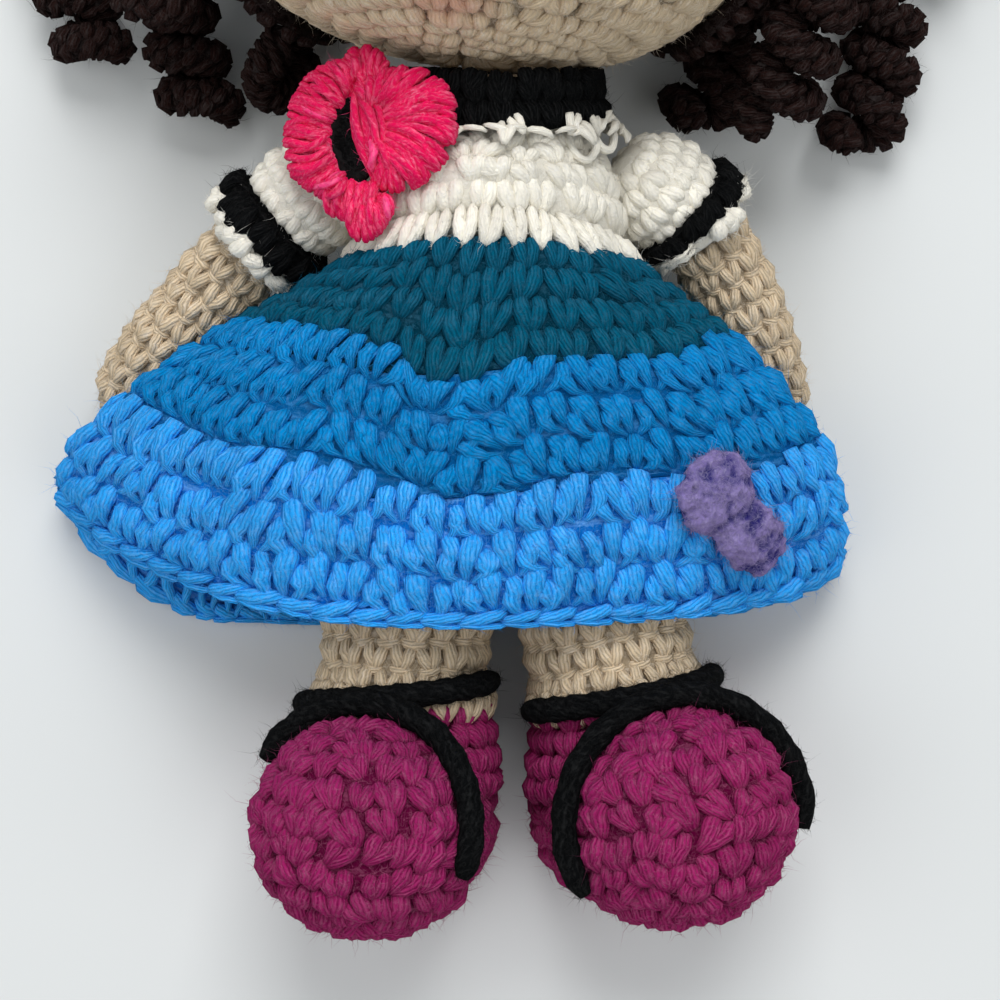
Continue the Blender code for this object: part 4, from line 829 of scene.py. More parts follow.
def yarn_material(name, colour, deep=0.45, pale=0.16, sheen=0.1, spots=(), relief=0.75, groove=0.55, stray=0.5, haze=0.2, **look):
    """A fuzzy yarn: its colour, how dark the painted shade in its depths and how pale the painted highlights on its
    fibres are, and its relief.
    """
    found = bpy.data.materials.get(name)
    if found:
        return found
    material = bpy.data.materials.new(name)
    material.use_nodes = True
    tree = material.node_tree
    shader = tree.nodes["Principled BSDF"]
    plain = linear(colour)
    fibres = add_node(tree, "ShaderNodeGroup", node_tree=fibre_group())
    for key, value in look.items():
        fibres.inputs[key.title()].default_value = value
    shade = add_node(tree, "ShaderNodeGroup", node_tree=shade_group())
    shade.inputs["Colour"].default_value = plain
    # Painted shade's colour: the yarn's colour times deep
    shade.inputs["Deep"].default_value = (*np.multiply(plain[:3], deep), 1)
    shade.inputs["Haze"].default_value = (*(c + (1 - c) * haze for c in plain[:3]), 1)
    shade.inputs["Groove"].default_value = groove
    shade.inputs["Stray"].default_value = stray
    # Painted highlights' colour: pale of the way from the yarn's colour to white
    shade.inputs["Pale"].default_value = (*(c + (1 - c) * pale for c in plain[:3]), 1)
    for socket in ("Ridge", "Streaks", "Fluff", "Strays"):
        tree.links.new(fibres.outputs[socket], shade.inputs[socket])
    shown = shade.outputs[0]
    for centre, radius, tint, strength in spots:
        share = math_node(tree, "MULTIPLY", spot_share(tree, centre, radius), strength)
        shown = mix_colour(tree, share, shown, linear(tint))
    tree.links.new(shown, shader.inputs["Base Color"])
    bump = add_node(
        tree, "ShaderNodeBump", {"Height": fibres.outputs["Height"], "Strength": relief, "Distance": 0.30 * MM}
    )
    tree.links.new(bump.outputs[0], shader.inputs["Normal"])
    shader.inputs["Roughness"].default_value = 0.95
    shader.inputs["Specular IOR Level"].default_value = 0.04
    shader.inputs["Sheen Weight"].default_value = sheen
    shader.inputs["Sheen Roughness"].default_value = 0.5
    shader.inputs["Sheen Tint"].default_value = plain
    return material


def yarn(which):
    """The doll's yarns by their slot."""
    colours = bpy.context.scene.doll_colours
    stains = [
        ((-45.5, -43.0, 40.0), 3.2, (0.05, 0.40, 0.42), 0.7),
        ((-34.5, -45.0, 46.0), 1.8, (0.05, 0.38, 0.42), 0.6),
    ]
    spots = [(tuple(c * MM for c in place), radius * MM, tint, share) for place, radius, tint, share in stains]
    # In each look, deep sets the yarn's painted shade and pale its painted highlights
    made = {
        "skin_yarn": ("Beige yarn", colours.skin, {"deep": 0.40, "pale": 0.4, "haze": 0.35}),
        "white_yarn": (
            "White yarn",
            colours.white,
            {"deep": 0.80, "pale": 0.5, "groove": 0.2, "ply": 0.5, "fuzz": 1.4, "sheen": 0.2, "haze": 0.8},
        ),
        "black_yarn": ("Black yarn", colours.black, {"deep": 0.4, "pale": 0.02, "sheen": 0.02, "haze": 0.015}),
        "teal_yarn": ("Teal yarn", colours.teal, {"deep": 0.30, "pale": 0.04, "fuzz": 1.3, "haze": 0.03}),
        "mid_blue_yarn": (
            "Blue yarn",
            colours.mid_blue,
            {"deep": (0.1, 0.38, 0.46), "pale": 0.08, "spots": spots, "fuzz": 0.8, "haze": 0.04},
        ),
        "light_blue_yarn": (
            "Light blue yarn", colours.light_blue, {"deep": (0.0, 0.34, 0.52), "pale": 0.18, "fuzz": 0.8, "haze": 0.2, "stray": 0.35}
        ),
        "magenta_yarn": (
            "Magenta yarn", colours.magenta, {"deep": (0.30, 0.06, 0.26), "pale": 0.08, "fuzz": 0.9, "haze": 0.10}
        ),
        "pink_yarn": (
            "Pink yarn",
            colours.pink,
            {"deep": (0.78, 0.07, 0.36), "pale": 0.22, "groove": 0.03, "ply": 0.12, "fuzz": 0.9, "haze": 0.12, "stray": 0.12},
        ),
        "hair_yarn": ("Hair yarn", colours.hair, {"deep": 0.30, "pale": 0.05, "sheen": 0.03, "fuzz": 1.2, "haze": 0.03}),
        "purple_felt": (
            "Purple felt",
            colours.purple,
            {"deep": (0.07, 0.08, 0.30), "pale": 0.22, "ply": 0.0, "fuzz": 1.6, "groove": 0.1, "haze": 0.2, "stray": 0.5},
        ),
    }
    name, colour, look = made[which]
    return yarn_material(name, colour, **look)


def plain_material(name, colour, roughness, coat=0.0):
    material = bpy.data.materials.get(name)
    if material:
        return material
    material = bpy.data.materials.new(name)
    material.use_nodes = True
    tree = material.node_tree
    shader = tree.nodes["Principled BSDF"]
    solid = add_node(tree, "ShaderNodeTexCoord")
    grain = add_node(tree, "ShaderNodeTexNoise", {"Vector": solid.outputs["Object"], "Scale": 1800.0, "Detail": 3.0})
    rough = add_node(
        tree,
        "ShaderNodeMapRange",
        {"Value": grain.outputs[0], "From Min": 0.3, "From Max": 0.7, "To Min": roughness * 0.8, "To Max": roughness * 1.3},
    )
    plain = linear(colour)
    shown = mix_colour(tree, grain.outputs[0], plain, (*(c * 0.8 for c in plain[:3]), 1))
    tree.links.new(shown, shader.inputs["Base Color"])
    tree.links.new(rough.outputs[0], shader.inputs["Roughness"])
    shader.inputs["Coat Weight"].default_value = coat
    return material


# Surfaces of the doll


def head_point(ways, outset=0.0):
    """The head's surface in directions from its middle, in its own frame."""
    share = (np.abs(ways) ** HEAD_FULLNESS).sum(-1, keepdims=True) ** (-1 / HEAD_FULLNESS)
    return ways * share * (HEAD_HALF + outset)


def in_head_frame(points):
    return turned(points, HEAD_TILT, HEAD_MIDDLE)


def head_cloth(outset, rows=70, columns=120):
    """The head from its crown to the chin, round its own axis."""
    down, turn = np.meshgrid(
        np.linspace(0.04, math.pi - 0.04, rows), math.tau * np.arange(columns) / columns, indexing="ij"
    )
    ways = np.stack([np.sin(down) * np.cos(turn), np.cos(down), np.sin(down) * np.sin(turn)], -1)
    return Cloth(in_head_frame(head_point(ways, outset)))


def cap_cloth(outset, rows=48, columns=120):
    """The wig cap from the back of the head, shorter round the neck."""
    pole = np.array((0, math.cos(CAP_BACK), -math.sin(CAP_BACK)))
    across = np.array((1.0, 0, 0))
    up = np.cross(pole, across)
    neck = (turned(NECK_BASE - HEAD_MIDDLE, -HEAD_TILT, (0, 0, 0)))
    way = unit(neck)
    turns = math.tau * np.arange(columns) / columns
    reach = []
    for turn in turns:
        angles = np.linspace(0.5, CAP_REACH, 60)
        spokes = pole * np.cos(angles)[:, None] + (across * math.cos(turn) - up * math.sin(turn)) * np.sin(angles)[:, None]
        spots = head_point(spokes, outset)
        height = spots @ way
        off = np.linalg.norm(spots - height[:, None] * way, axis=1)
        blocked = (off < NAPE_RADIUS) & (height > 0.45 * np.linalg.norm(neck))
        reach.append(angles[np.argmax(blocked)] if blocked.any() else CAP_REACH)
    reach = np.array(reach)
    reach = sum(np.roll(reach, k) for k in range(-2, 3)) / 5
    down = np.linspace(0.03, 1, rows)[:, None] * reach[None]
    ring = across * np.cos(turns)[:, None] - up * np.sin(turns)[:, None]
    ways = pole * np.cos(down)[..., None] + ring[None] * np.sin(down)[..., None]
    return Cloth(on_table(in_head_frame(head_point(ways, outset))))


def torso_cloth(outset, rows=60, columns=96):
    """The torso from the neck's seam to the seat."""
    along = np.linspace(0, 0.985, rows)
    wide, deep, rise, tilt = (np.interp(along, TORSO_SHARES[:, 0], TORSO_SHARES[:, i]) for i in range(1, 5))
    lean = math.atan2(NECK_WAY[2], NECK_WAY[1]) * tilt
    turns = math.tau * np.arange(columns) / columns
    x = NECK_BASE[0] * rise[:, None] + (wide * TORSO_HALF_WIDE + outset)[:, None] * np.cos(turns)
    up = (deep * TORSO_HALF_DEEP + outset)[:, None] * np.sin(turns)
    y = (TORSO_TOP - along * TORSO_LENGTH)[:, None] - np.sin(lean)[:, None] * up
    z = (TORSO_RISE + (NECK_BASE[2] - TORSO_RISE) * rise)[:, None] + np.cos(lean)[:, None] * up
    return Cloth(on_table(np.stack([x, y, z], -1)))


def torso_half(share, column):
    half = TORSO_HALF_WIDE if column == 1 else TORSO_HALF_DEEP
    return half * np.interp(share, TORSO_SHARES[:, 0], TORSO_SHARES[:, column])


def rings_about(centres, ways, radii, columns, up=(0, 0, 1)):
    """Rings round a line, each square to its way. Radii are one number a ring, or one for each point."""
    ways = unit(np.asarray(ways, float))
    across = unit(np.cross(ways, np.asarray(up, float)))
    over = np.cross(across, ways)
    turns = math.tau * np.arange(columns) / columns
    radii = np.asarray(radii, float)
    radii = radii[:, None] if radii.ndim == 1 else radii
    ring = across[:, None] * np.cos(turns)[None, :, None] + over[:, None] * np.sin(turns)[None, :, None]
    return np.asarray(centres)[:, None] + ring * radii[..., None]


def arm_axis(side, shares):
    points = bezier(((0, 0, 0), ARM_BEND[side], ARM_END[side]), shares) * MM + np.array(SHOULDER[side]) * MM
    return points


def arm_length(side):
    points = arm_axis(side, np.linspace(0, 1, 65))
    return np.linalg.norm(np.diff(points, axis=0), axis=1).sum()


def arm_rings(side, shares, radii, columns=64):
    nearby = np.clip(np.stack([shares - 0.01, shares + 0.01]), 0, 1)
    ways = arm_axis(side, nearby[1]) - arm_axis(side, nearby[0])
    return rings_about(arm_axis(side, shares), ways, radii, columns)


def arm_cloth(side, outset, rows=60):
    shares = np.linspace(0.02, 0.985, rows)
    return Cloth(on_table(arm_rings(side, shares, np.interp(shares, ARM_SHARES[:, 0], ARM_SHARES[:, 1]) * ARM_RADIUS + outset)))


def leg_place(side, points):
    return turned(np.asarray(points), LEG_SPLAY[side], np.array(HIP[side]) * MM)


def leg_cloth(side, outset, rows=60, columns=72):
    """The leg from its round top down to the shoe."""
    dome = np.radians(np.linspace(80, 0, 14))
    heights = np.concatenate([LEG_RADIUS * np.sin(dome), np.linspace(0, -(LEG_DROP - 14 * MM), rows - 14)[1:]])
    radii = np.concatenate([LEG_RADIUS * np.cos(dome), np.full(rows - 15, LEG_RADIUS)]) + outset
    turns = math.tau * np.arange(columns) / columns
    x, z = radii[:, None] * np.cos(turns), radii[:, None] * np.sin(turns)
    y = np.broadcast_to(heights[:, None], x.shape)
    return Cloth(on_table(leg_place(side, np.stack([x, y, z], -1))))


def shoe_cloth(side, outset, rows=40, columns=96):
    """The shoe in rounds that run level with its sole."""
    heel, toe = np.array(HEEL[side]) * MM, np.array(TOE[side]) * MM
    way = unit(toe - heel)
    beside = np.array((way[2], 0, -way[0]))
    length = np.linalg.norm(toe - heel)
    levels = np.sin(np.linspace(-1.42, 1.42, rows))
    shares = (1 - np.cos(np.linspace(0, math.pi, 400))) / 2
    wide = np.interp(shares, FOOT_SHARES[:, 0], FOOT_SHARES[:, 1]) * FOOT_HALF_WIDE
    high = np.interp(shares, FOOT_SHARES[:, 0], FOOT_SHARES[:, 2]) * FOOT_HALF_HIGH
    rings = []
    for level in levels:
        up = level * FOOT_HALF_HIGH
        inside = high > abs(up)
        s, w = shares[inside], wide[inside] * np.sqrt(1 - (up / high[inside]) ** 2)
        spread = np.concatenate([w, -w[::-1]])
        reach = np.concatenate([s, s[::-1]]) * length
        outline = heel + way * reach[:, None] + beside * spread[:, None]
        outline = np.concatenate([outline, outline[:1]])
        ring = along_line(outline, np.arange(columns) / columns + 0.25)
        late = np.arange(columns) / columns + 0.25 >= 1
        ring[late] = along_line(outline, (np.arange(columns) / columns + 0.25 - 1)[late])
        ring[:, 1] = heel[1] + up
        rings.append(ring)
    cloth = Cloth(leg_place(side, np.array(rings)))
    return Cloth(on_table(cloth.grown(outset)))


def skirt_middle(angle, share):
    """The middle of the skirt's fabric: the angle goes round from its left fold over the front."""
    cosine, sine = np.cos(angle), np.sin(angle)
    left = cosine >= 0

    def between(values):
        return values["right"] + (values["left"] - values["right"]) * (1 + cosine) / 2

    def either(values, back):
        return np.where(left, values["left"][back], values["right"][back])

    waist_share = (TORSO_TOP - SKIRT_WAIST) / TORSO_LENGTH
    ease = 0.5 * MM + SKIRT_THICKNESS / 2
    waist_wide, waist_deep = torso_half(waist_share, 1) + ease, torso_half(waist_share, 2) + ease
    low = between(SKIRT_TIP_SIDE)
    widen = 1 - (1 - share) ** between(SKIRT_FLARE)
    x = waist_wide * cosine + (low - waist_wide * cosine) * widen
    front = sine >= 0
    tip_y = np.where(left, SKIRT_TIP_Y["left"], SKIRT_TIP_Y["right"])
    power = np.where(front, either(SKIRT_HEM_CURVE, 0), either(SKIRT_HEM_CURVE, 1))
    start, end = 0.03 ** (power / 2), 1.03 ** (power / 2)
    eased = ((np.abs(sine) ** 2 + 0.03) ** (power / 2) - start) / (end - start)
    hem = tip_y + (np.where(front, SKIRT_HEM, SKIRT_BACK_HEM) - tip_y) * eased
    hem = hem - np.where(~front & ~left, SKIRT_SWAG * np.sin(2 * angle) ** 2, 0)
    waist = SKIRT_WAIST - SKIRT_WAIST_DIP * cosine**2
    y = waist + (hem - waist) * share
    edge = TORSO_RISE + (SKIRT_TIP_RISE - TORSO_RISE) * share**4
    fold = SKIRT_FOLD * np.sqrt(np.maximum(1 - np.abs(cosine) ** 16, 0))
    settle = smooth_step(0, 0.3, share)
    crest = TORSO_RISE + waist_deep + (SKIRT_RISE - TORSO_RISE - waist_deep) * share**2
    curve = 1 + (between(SKIRT_FRONT_CURVE) - 1) * settle
    ripple = SKIRT_RIPPLE * share**2 * np.sin(10 * angle) * sine**2
    over = edge + fold * settle + (crest - edge - fold * settle) * np.abs(sine) ** curve + ripple
    ground = SKIRT_THICKNESS / 2 - 0.1 * MM
    bottom = (TORSO_RISE - waist_deep) * (1 - settle) + ground * settle
    tuck = 1 - smooth_step(0.48, 0.76, np.abs(cosine))
    depth = -sine * (1 - settle) + tuck * settle
    under = edge - fold * settle + (bottom - edge + fold * settle) * depth
    return np.stack([x, y, np.where(front, over, under)], -1)


def even_angles(share, columns):
    """Angles that part a round of the skirt into equal lengths."""
    fine = np.linspace(0, math.tau, 2001)
    line = skirt_middle(fine, np.full(len(fine), share))
    travel = np.concatenate([[0], np.cumsum(np.linalg.norm(np.diff(line, axis=0), axis=1))])
    return np.interp(np.arange(columns) / columns * travel[-1], travel, fine)


def edge_shares(table, angles):
    degrees, shares = np.array(table).T
    return np.interp(np.degrees((angles + math.pi) % math.tau - math.pi), degrees, shares)


def packed_edge(share, angles):
    """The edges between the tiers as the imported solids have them."""
    if share in (0, 1):
        return np.full(len(angles), share)
    return share + 0.06 * np.maximum(np.cos(angles - math.radians(98)), 0) ** 8


def skirt_cloth(top, low, angles, rows=40, outset=0.0):
    """The skirt's fabric between two edges, given as shares for each angle."""
    share = np.clip(top + (low - top) * np.linspace(0, 1, rows)[:, None], 0, 1)
    angle = np.broadcast_to(angles, share.shape)
    step = 0.004
    down = skirt_middle(angle, np.minimum(share + step, 1)) - skirt_middle(angle, np.maximum(share - step, 0))
    round_way = skirt_middle(angle + step, share) - skirt_middle(angle - step, share)
    normal = unit(np.cross(round_way, down))
    cloth = Cloth(skirt_middle(angle, share) + normal * outset)
    cloth.normals, cloth.sign = normal, 1
    return cloth


def curl_line(name):
    """A ringlet's line and the ways out of its curls."""
    base, out, bend, end = (Vector(v) for v in RINGLETS[name])
    base, bend, end = base * MM, bend * MM, end * MM
    away = (bend - base).normalized()
    side = away.cross(out).normalized()
    start = base + out * (0.4 * MM + CURL_LEAD) - side * CURL_RADIUS
    axis = bezier((start, bend, end), np.linspace(0, 1, 97))
    axis[:, 2] = np.maximum(axis[:, 2], CURL_LOWEST)
    travel = np.concatenate([[0], np.cumsum(np.linalg.norm(np.diff(axis, axis=0), axis=1))])
    turns = int((travel[-1] - CURL_FIRST) / CURL_PITCH)
    turn = np.arange(turns * CURL_STEPS + 1) / CURL_STEPS
    reach = CURL_PITCH * turn + CURL_FIRST * np.minimum(turn, 1)
    centre = np.stack([np.interp(reach, travel, axis[:, i]) for i in range(3)], -1)
    along = unit(np.gradient(axis, axis=0))
    along = unit(np.stack([np.interp(reach, travel, along[:, i]) for i in range(3)], -1))
    push, pushes = np.array(out), []
    for way in along:
        push = unit(push - way * (push @ way))
        pushes.append(push)
    pushes = np.array(pushes)
    swing = np.cross(along, pushes)
    angle = math.tau * turn[:, None]
    outward = swing * np.cos(angle) + pushes * np.sin(angle)
    points = centre + outward * CURL_RADIUS
    stem = np.array([base + out * 0.4 * MM, base + out * (0.4 * MM + CURL_LEAD * 0.5)])
    count = 6
    joined = rounded_line(np.concatenate([stem, points[:1]]), count)
    points = np.concatenate([joined[:-1], points])
    outward = np.concatenate([np.repeat(outward[:1], count - 1, 0), outward])
    return points, outward


def curl_cloth(name, radius, columns=24):
    points, outward = curl_line(name)
    way = unit(np.gradient(points, axis=0))
    side = unit(outward - way * (outward * way).sum(1, keepdims=True))
    over = np.cross(side, way)
    turns = math.tau * np.arange(columns) / columns
    share = np.linspace(0, 1, len(points))
    taper = np.minimum(1, 0.55 + 0.45 * smooth_step(0, 0.03, share)) * (0.5 + 0.5 * smooth_step(0, 0.02, 1 - share))
    ring = side[:, None] * np.cos(turns)[None, :, None] * 1.05 + over[:, None] * np.sin(turns)[None, :, None]
    return Cloth(on_table(points[:, None] + ring * (radius * taper)[:, None, None]))


# Makers of the pieces


def stitched(name, cloth, stitch, span, seed, material, ground=BASE_DEPTH, seat=STITCH_DEPTH, **how):
    """A closed form under its stitches, as one piece."""
    made = Yarn()
    # The ground under the stitches is drawn wholly in its deep colour: painted shade
    made.skin(on_table(cloth.grown(-ground)), flip=cloth.sign < 0)
    lay(made, cloth, stitch, span, seed, lift=-seat, **how)
    return made.piece(name, material)


def walled(name, outer, inner, stitch, span, seed, material, **how):
    """A wall between two surfaces, with stitches on its outer side."""
    made = Yarn()
    # The wall under the stitches is drawn wholly in its deep colour: painted shade
    made.skin(np.concatenate([outer.grown(-BASE_DEPTH), inner.points[::-1]]), looped=True, flip=outer.sign < 0)
    lay(made, outer, stitch, span, seed, lift=-STITCH_DEPTH, **how)
    return made.piece(name, material)


def full_stitch(scale=1.0, spread=0.25, sides=8):
    """The plump V of the bodice, the sleeves and the cuffs."""
    sizes = bpy.context.scene.doll_sizes
    width, height, radius = 1.1 * sizes.stitch_width, 1.14 * sizes.stitch_height, 1.25 * sizes.yarn_radius
    return vee_stitch(width * scale, height * scale, radius * scale, sides, spread)


def tight_stitch(scale=1.0, sides=8):
    """The tighter stitch of the head and the limbs."""
    sizes = bpy.context.scene.doll_sizes
    return tulip_stitch(sizes.stitch_width * scale, sizes.stitch_height * scale, sizes.yarn_radius * scale, sides)


class DOLL_OT_stage(bpy.types.Operator):
    """Floor, lamps, world and the camera over the doll"""

    bl_idname = "doll.stage"
    bl_label = "Stage"

    def execute(self, context):
        scene = context.scene
        bpy.ops.mesh.primitive_plane_add(size=12.0, location=(0, 0, 0))
        floor = context.object
        floor.name = "floor"
        material = bpy.data.materials.new("Pale floor")
        material.use_nodes = True
        shader = material.node_tree.nodes["Principled BSDF"]
        shader.inputs["Base Color"].default_value = linear(scene.doll_colours.floor)
        shader.inputs["Roughness"].default_value = 0.55
        shader.inputs["Specular IOR Level"].default_value = 0.2
        floor.data.materials.append(material)
        for name, place, power, size in (
            ("key", (0.10, 0.85, 1.20), 14.0, 0.8),
            ("fill", (-0.9, -0.2, 1.2), 5.5, 1.2),
            ("side", (0.9, -0.5, 1.1), 4.0, 1.2),
        ):
            lamp = bpy.data.lights.new(name, "AREA")
            lamp.energy, lamp.size = power, size
            holder = bpy.data.objects.new(name, lamp)
            holder.location = place
            holder.rotation_euler = (Vector((0, -0.03, 0.03)) - Vector(place)).to_track_quat("-Z", "Y").to_euler()
            scene.collection.objects.link(holder)
        world = bpy.data.worlds.new("Studio")
        world.use_nodes = True
        world.node_tree.nodes["Background"].inputs[0].default_value = linear((0.94, 0.955, 0.96))
        world.node_tree.nodes["Background"].inputs[1].default_value = 0.45
        scene.world = world
        scene.view_settings.view_transform = "Standard"
        camera = bpy.data.cameras.new("over_the_doll")
        camera.lens, camera.sensor_width = 81.0, 36.0
        camera.clip_start = 0.01
        holder = bpy.data.objects.new("over_the_doll", camera)
        holder.location = (0.002, -0.062, 0.480)
        scene.collection.objects.link(holder)
        scene.camera = holder
        return {"FINISHED"}


class DOLL_OT_head(bpy.types.Operator):
    """The crocheted head, its blush and its eyes"""

    bl_idname = "doll.head"
    bl_label = "Head"

    def execute(self, context):
        colours = context.scene.doll_colours
        # deep and pale set the painted shade and the painted highlights of the face's yarn
        skin = yarn_material(
            "Face yarn",
            colours.skin,
            deep=0.34,
            pale=0.35,
            haze=0.4,
            stray=0.75,
            groove=0.3,
            ply=0.6,
            fuzz=1.6,
            spots=[(tuple(c * MM for c in place), radius * MM, colours.blush, 0.6) for place, radius in BLUSH],
        )
        cloth = head_cloth(0)
        back = turned(np.array((0, math.cos(CAP_BACK), -math.sin(CAP_BACK))), HEAD_TILT, (0, 0, 0))

        def bare(points):
            ways = unit(points - HEAD_MIDDLE)
            return (ways @ back < math.cos(CAP_REACH - 0.25)) | (points[:, 1] < 0.045)

        head = stitched(
            "head_crochet", cloth, full_stitch(0.84, 0.27, 6), (2 * MM, cloth.length - 2 * MM), 11, skin, 1.2 * MM, 1.5 * MM,
            keep=bare, upside=True, lean=0.3, wander=0.14,
        )
        finished(head, "head", "skin_yarn", "head", "head_stuffing")
        add_halo("head_halo", [head], "head", skin, "skin_yarn", 14000, 12, reach=1.4 * MM, keep=bare)
        bead = plain_material("Eye plastic", (0.02, 0.02, 0.02), 0.12, coat=1.0)
        for side in SIDES:
            low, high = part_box(f"eye_{side}")
            node = NODES[f"eye_{side}"]
            points = np.array([v.co for v in node.data.vertices])
            tip = points[np.argmax(points[:, 2])]
            out = unit(tip - HEAD_MIDDLE)
            bpy.ops.object.select_all(action="DESELECT")
            bpy.ops.mesh.primitive_uv_sphere_add(segments=40, ring_count=24, radius=1)
            eye = context.object
            eye.name = f"eye_bead_{side}"
            turn = Vector((0, 0, 1)).rotation_difference(Vector(out)).to_matrix().to_4x4()
            seat = Vector(tip) - Vector(out) * 2.4 * MM
            eye.matrix_world = Matrix.Translation(seat) @ turn @ Matrix.Diagonal((4.9 * MM, 4.9 * MM, 2.9 * MM, 1))
            bpy.ops.object.transform_apply(location=True, rotation=True, scale=True)
            bpy.ops.object.shade_smooth()
            eye.data.materials.append(bead)
            finished(eye, "head", "eye_plastic", f"eye_{side}")
            washer = NODES[f"eye_washer_{side}"]
            for slot in washer.material_slots:
                slot.material = plain_material("Washer plastic", (0.90, 0.90, 0.88), 0.4)
        return {"FINISHED"}


class DOLL_OT_hair(bpy.types.Operator):
    """The wig cap and its eight corkscrew ringlets"""

    bl_idname = "doll.hair"
    bl_label = "Hair"

    def execute(self, context):
        hair = yarn("hair_yarn")
        outer, inner = cap_cloth(CAP_OUTER), cap_cloth(CAP_INNER)
        cap = walled("wig_cap_crochet", outer, inner, tight_stitch(1.5, 6), (3 * MM, outer.length - 1 * MM), 21, hair)
        finished(cap, "head", "hair_yarn", "wig_cap")
        add_halo("wig_cap_halo", [cap], "head", hair, "hair_yarn", 6000, 22, reach=1.6 * MM)
        ringlets = []
        for i, name in enumerate(RINGLETS):
            made = Yarn()
            surface = curl_cloth(name, CURL_TUBE)
            # The ringlet's core is drawn in its deep colour: painted shade under the posts
            made.skin(surface.grown(-0.9 * MM), flip=surface.sign < 0)
            around = float(np.median(surface.around))
            post = post_stitch(around / 4, 2.0 * MM, 0.95 * MM)
            lay(made, surface, post, (2 * MM, surface.length - 1 * MM), 30 + i, lift=-0.75 * MM, lean=0.2)
            ringlet = made.piece(f"ringlet_{name}_crochet", hair)
            finished(ringlet, "head", "hair_yarn", f"ringlet_{name}")
            ringlets.append(ringlet)
        add_halo("ringlets_halo", ringlets, "head", hair, "hair_yarn", 9500, 39, reach=1.5 * MM)
        return {"FINISHED"}


class DOLL_OT_torso(bpy.types.Operator):
    """The white bodice, the neck and the black collar with its white picot edge"""

    bl_idname = "doll.torso"
    bl_label = "Torso"

    def execute(self, context):
        white, black, skin = yarn("white_yarn"), yarn("black_yarn"), yarn("skin_yarn")
        cloth = torso_cloth(0)
        plump = full_stitch(1.0, 0.26)
        torso = stitched(
            "torso_crochet", cloth, plump, (0.0, 31 * MM), 41, white, 0.9 * MM, 1.8 * MM, upside=True, wander=0.22, lean=0.34
        )
        finished(torso, "torso", "white_yarn", "torso", "torso_stuffing")
        add_halo("torso_halo", [torso], "torso", white, "white_yarn", 6500, 42, keep=lambda at: at[:, 1] > -0.016)
        heights = np.linspace(0.4, 5.2, 8) * MM
        neck = Yarn()
        centres = NECK_BASE + NECK_WAY * heights[:, None]
        # The neck is drawn wholly in the beige's deep colour: painted shade under the head and the collar
        neck.skin(rings_about(centres, np.repeat(NECK_WAY[None], 8, 0), np.full(8, 16.6 * MM), 48), flip=True)
        finished(neck.piece("neck_crochet", skin), "torso", "skin_yarn", "neck")
        shares = np.linspace(0, 1, 16)
        heights = 4.8 * MM - 9.2 * MM * shares
        bore = 17.8 * MM + 3.2 * MM * shares**2
        roll = (3.5 - 0.7 * shares) * MM * (1 - 0.25 * np.abs(2 * shares - 1) ** 3)
        centres = NECK_BASE + NECK_WAY * heights[:, None]
        ways = np.repeat(NECK_WAY[None], 16, 0)
        outer, inner = Cloth(rings_about(centres, ways, bore + roll, 96)), Cloth(rings_about(centres, ways, bore, 96))
        centres = NECK_BASE + NECK_WAY * (heights + 2.0 * MM * (1 - shares))[:, None]
        higher = Cloth(rings_about(centres, ways, bore + roll, 96))
        collar = walled("collar_crochet", outer, inner, full_stitch(0.8), (0, outer.length), 43, black, upside=True)
        finished(collar, "torso", "black_yarn", "collar")
        upper = Yarn()
        lay(upper, higher, full_stitch(0.8), (0, 5 * MM), 46, lift=-STITCH_DEPTH, upside=True, lean=0.25, wander=0.2)
        finished(upper.piece("collar_upper_round", black), "torso", "black_yarn")
        add_halo("collar_halo", [collar], "torso", black, "black_yarn", 3500, 44)
        trim = Yarn()
        shares = np.linspace(0.72, 1.36, 12)
        heights = 4.8 * MM - 9.2 * MM * shares
        reach = 17.8 * MM + 3.2 * MM * shares**2 + np.interp(shares, (0.7, 1.0, 1.3), (2.9, 2.2, 2.6)) * MM
        edge = Cloth(rings_about(NECK_BASE + NECK_WAY * heights[:, None], np.repeat(NECK_WAY[None], 12, 0), reach, 96))
        rng = np.random.default_rng(47)
        chain = slanted_stitch(3.6 * MM, 2.6 * MM, 0.75 * MM, 6)
        picot = vee_stitch(4.4 * MM, 4.2 * MM, 0.75 * MM, 6, 0.22)
        lay(trim, edge, chain, (2.4 * MM, 4.2 * MM), 45, lambda at: rng.random(len(at)) < 0.85, rows=1, wander=0.5, lean=0.5)
        lay(
            trim, edge, picot, (2.2 * MM, 6.0 * MM), 46, lambda at: rng.random(len(at)) < 0.7,
            rows=1, wander=0.9, lean=0.55, upside=True,
        )
        for loop in (
            [(15.0, 8.6, 51.5), (15.6, 4.6, 53.4), (18.2, 2.6, 52.2), (20.4, 5.0, 50.2), (20.2, 8.8, 48.4)],
            [(19.0, 9.6, 49.4), (21.2, 5.8, 48.8), (23.4, 5.6, 46.6), (24.2, 9.4, 44.0)],
            [(-3.0, 2.6, 59.6), (-1.4, -0.6, 61.4), (1.6, -0.8, 61.6), (3.0, 2.2, 60.2)],
        ):
            line = rounded_line(np.array(loop) * MM, 12)
            full = np.interp(np.arange(12), (0, 1, 10, 11), (0.6, 1, 1, 0.6))[:, None]
            trim.add(*strand(np.concatenate([line, full], -1), 0.85 * MM, 8, 1.0, 8))
        finished(trim.piece("collar_picots", white), "torso", "white_yarn")
        return {"FINISHED"}


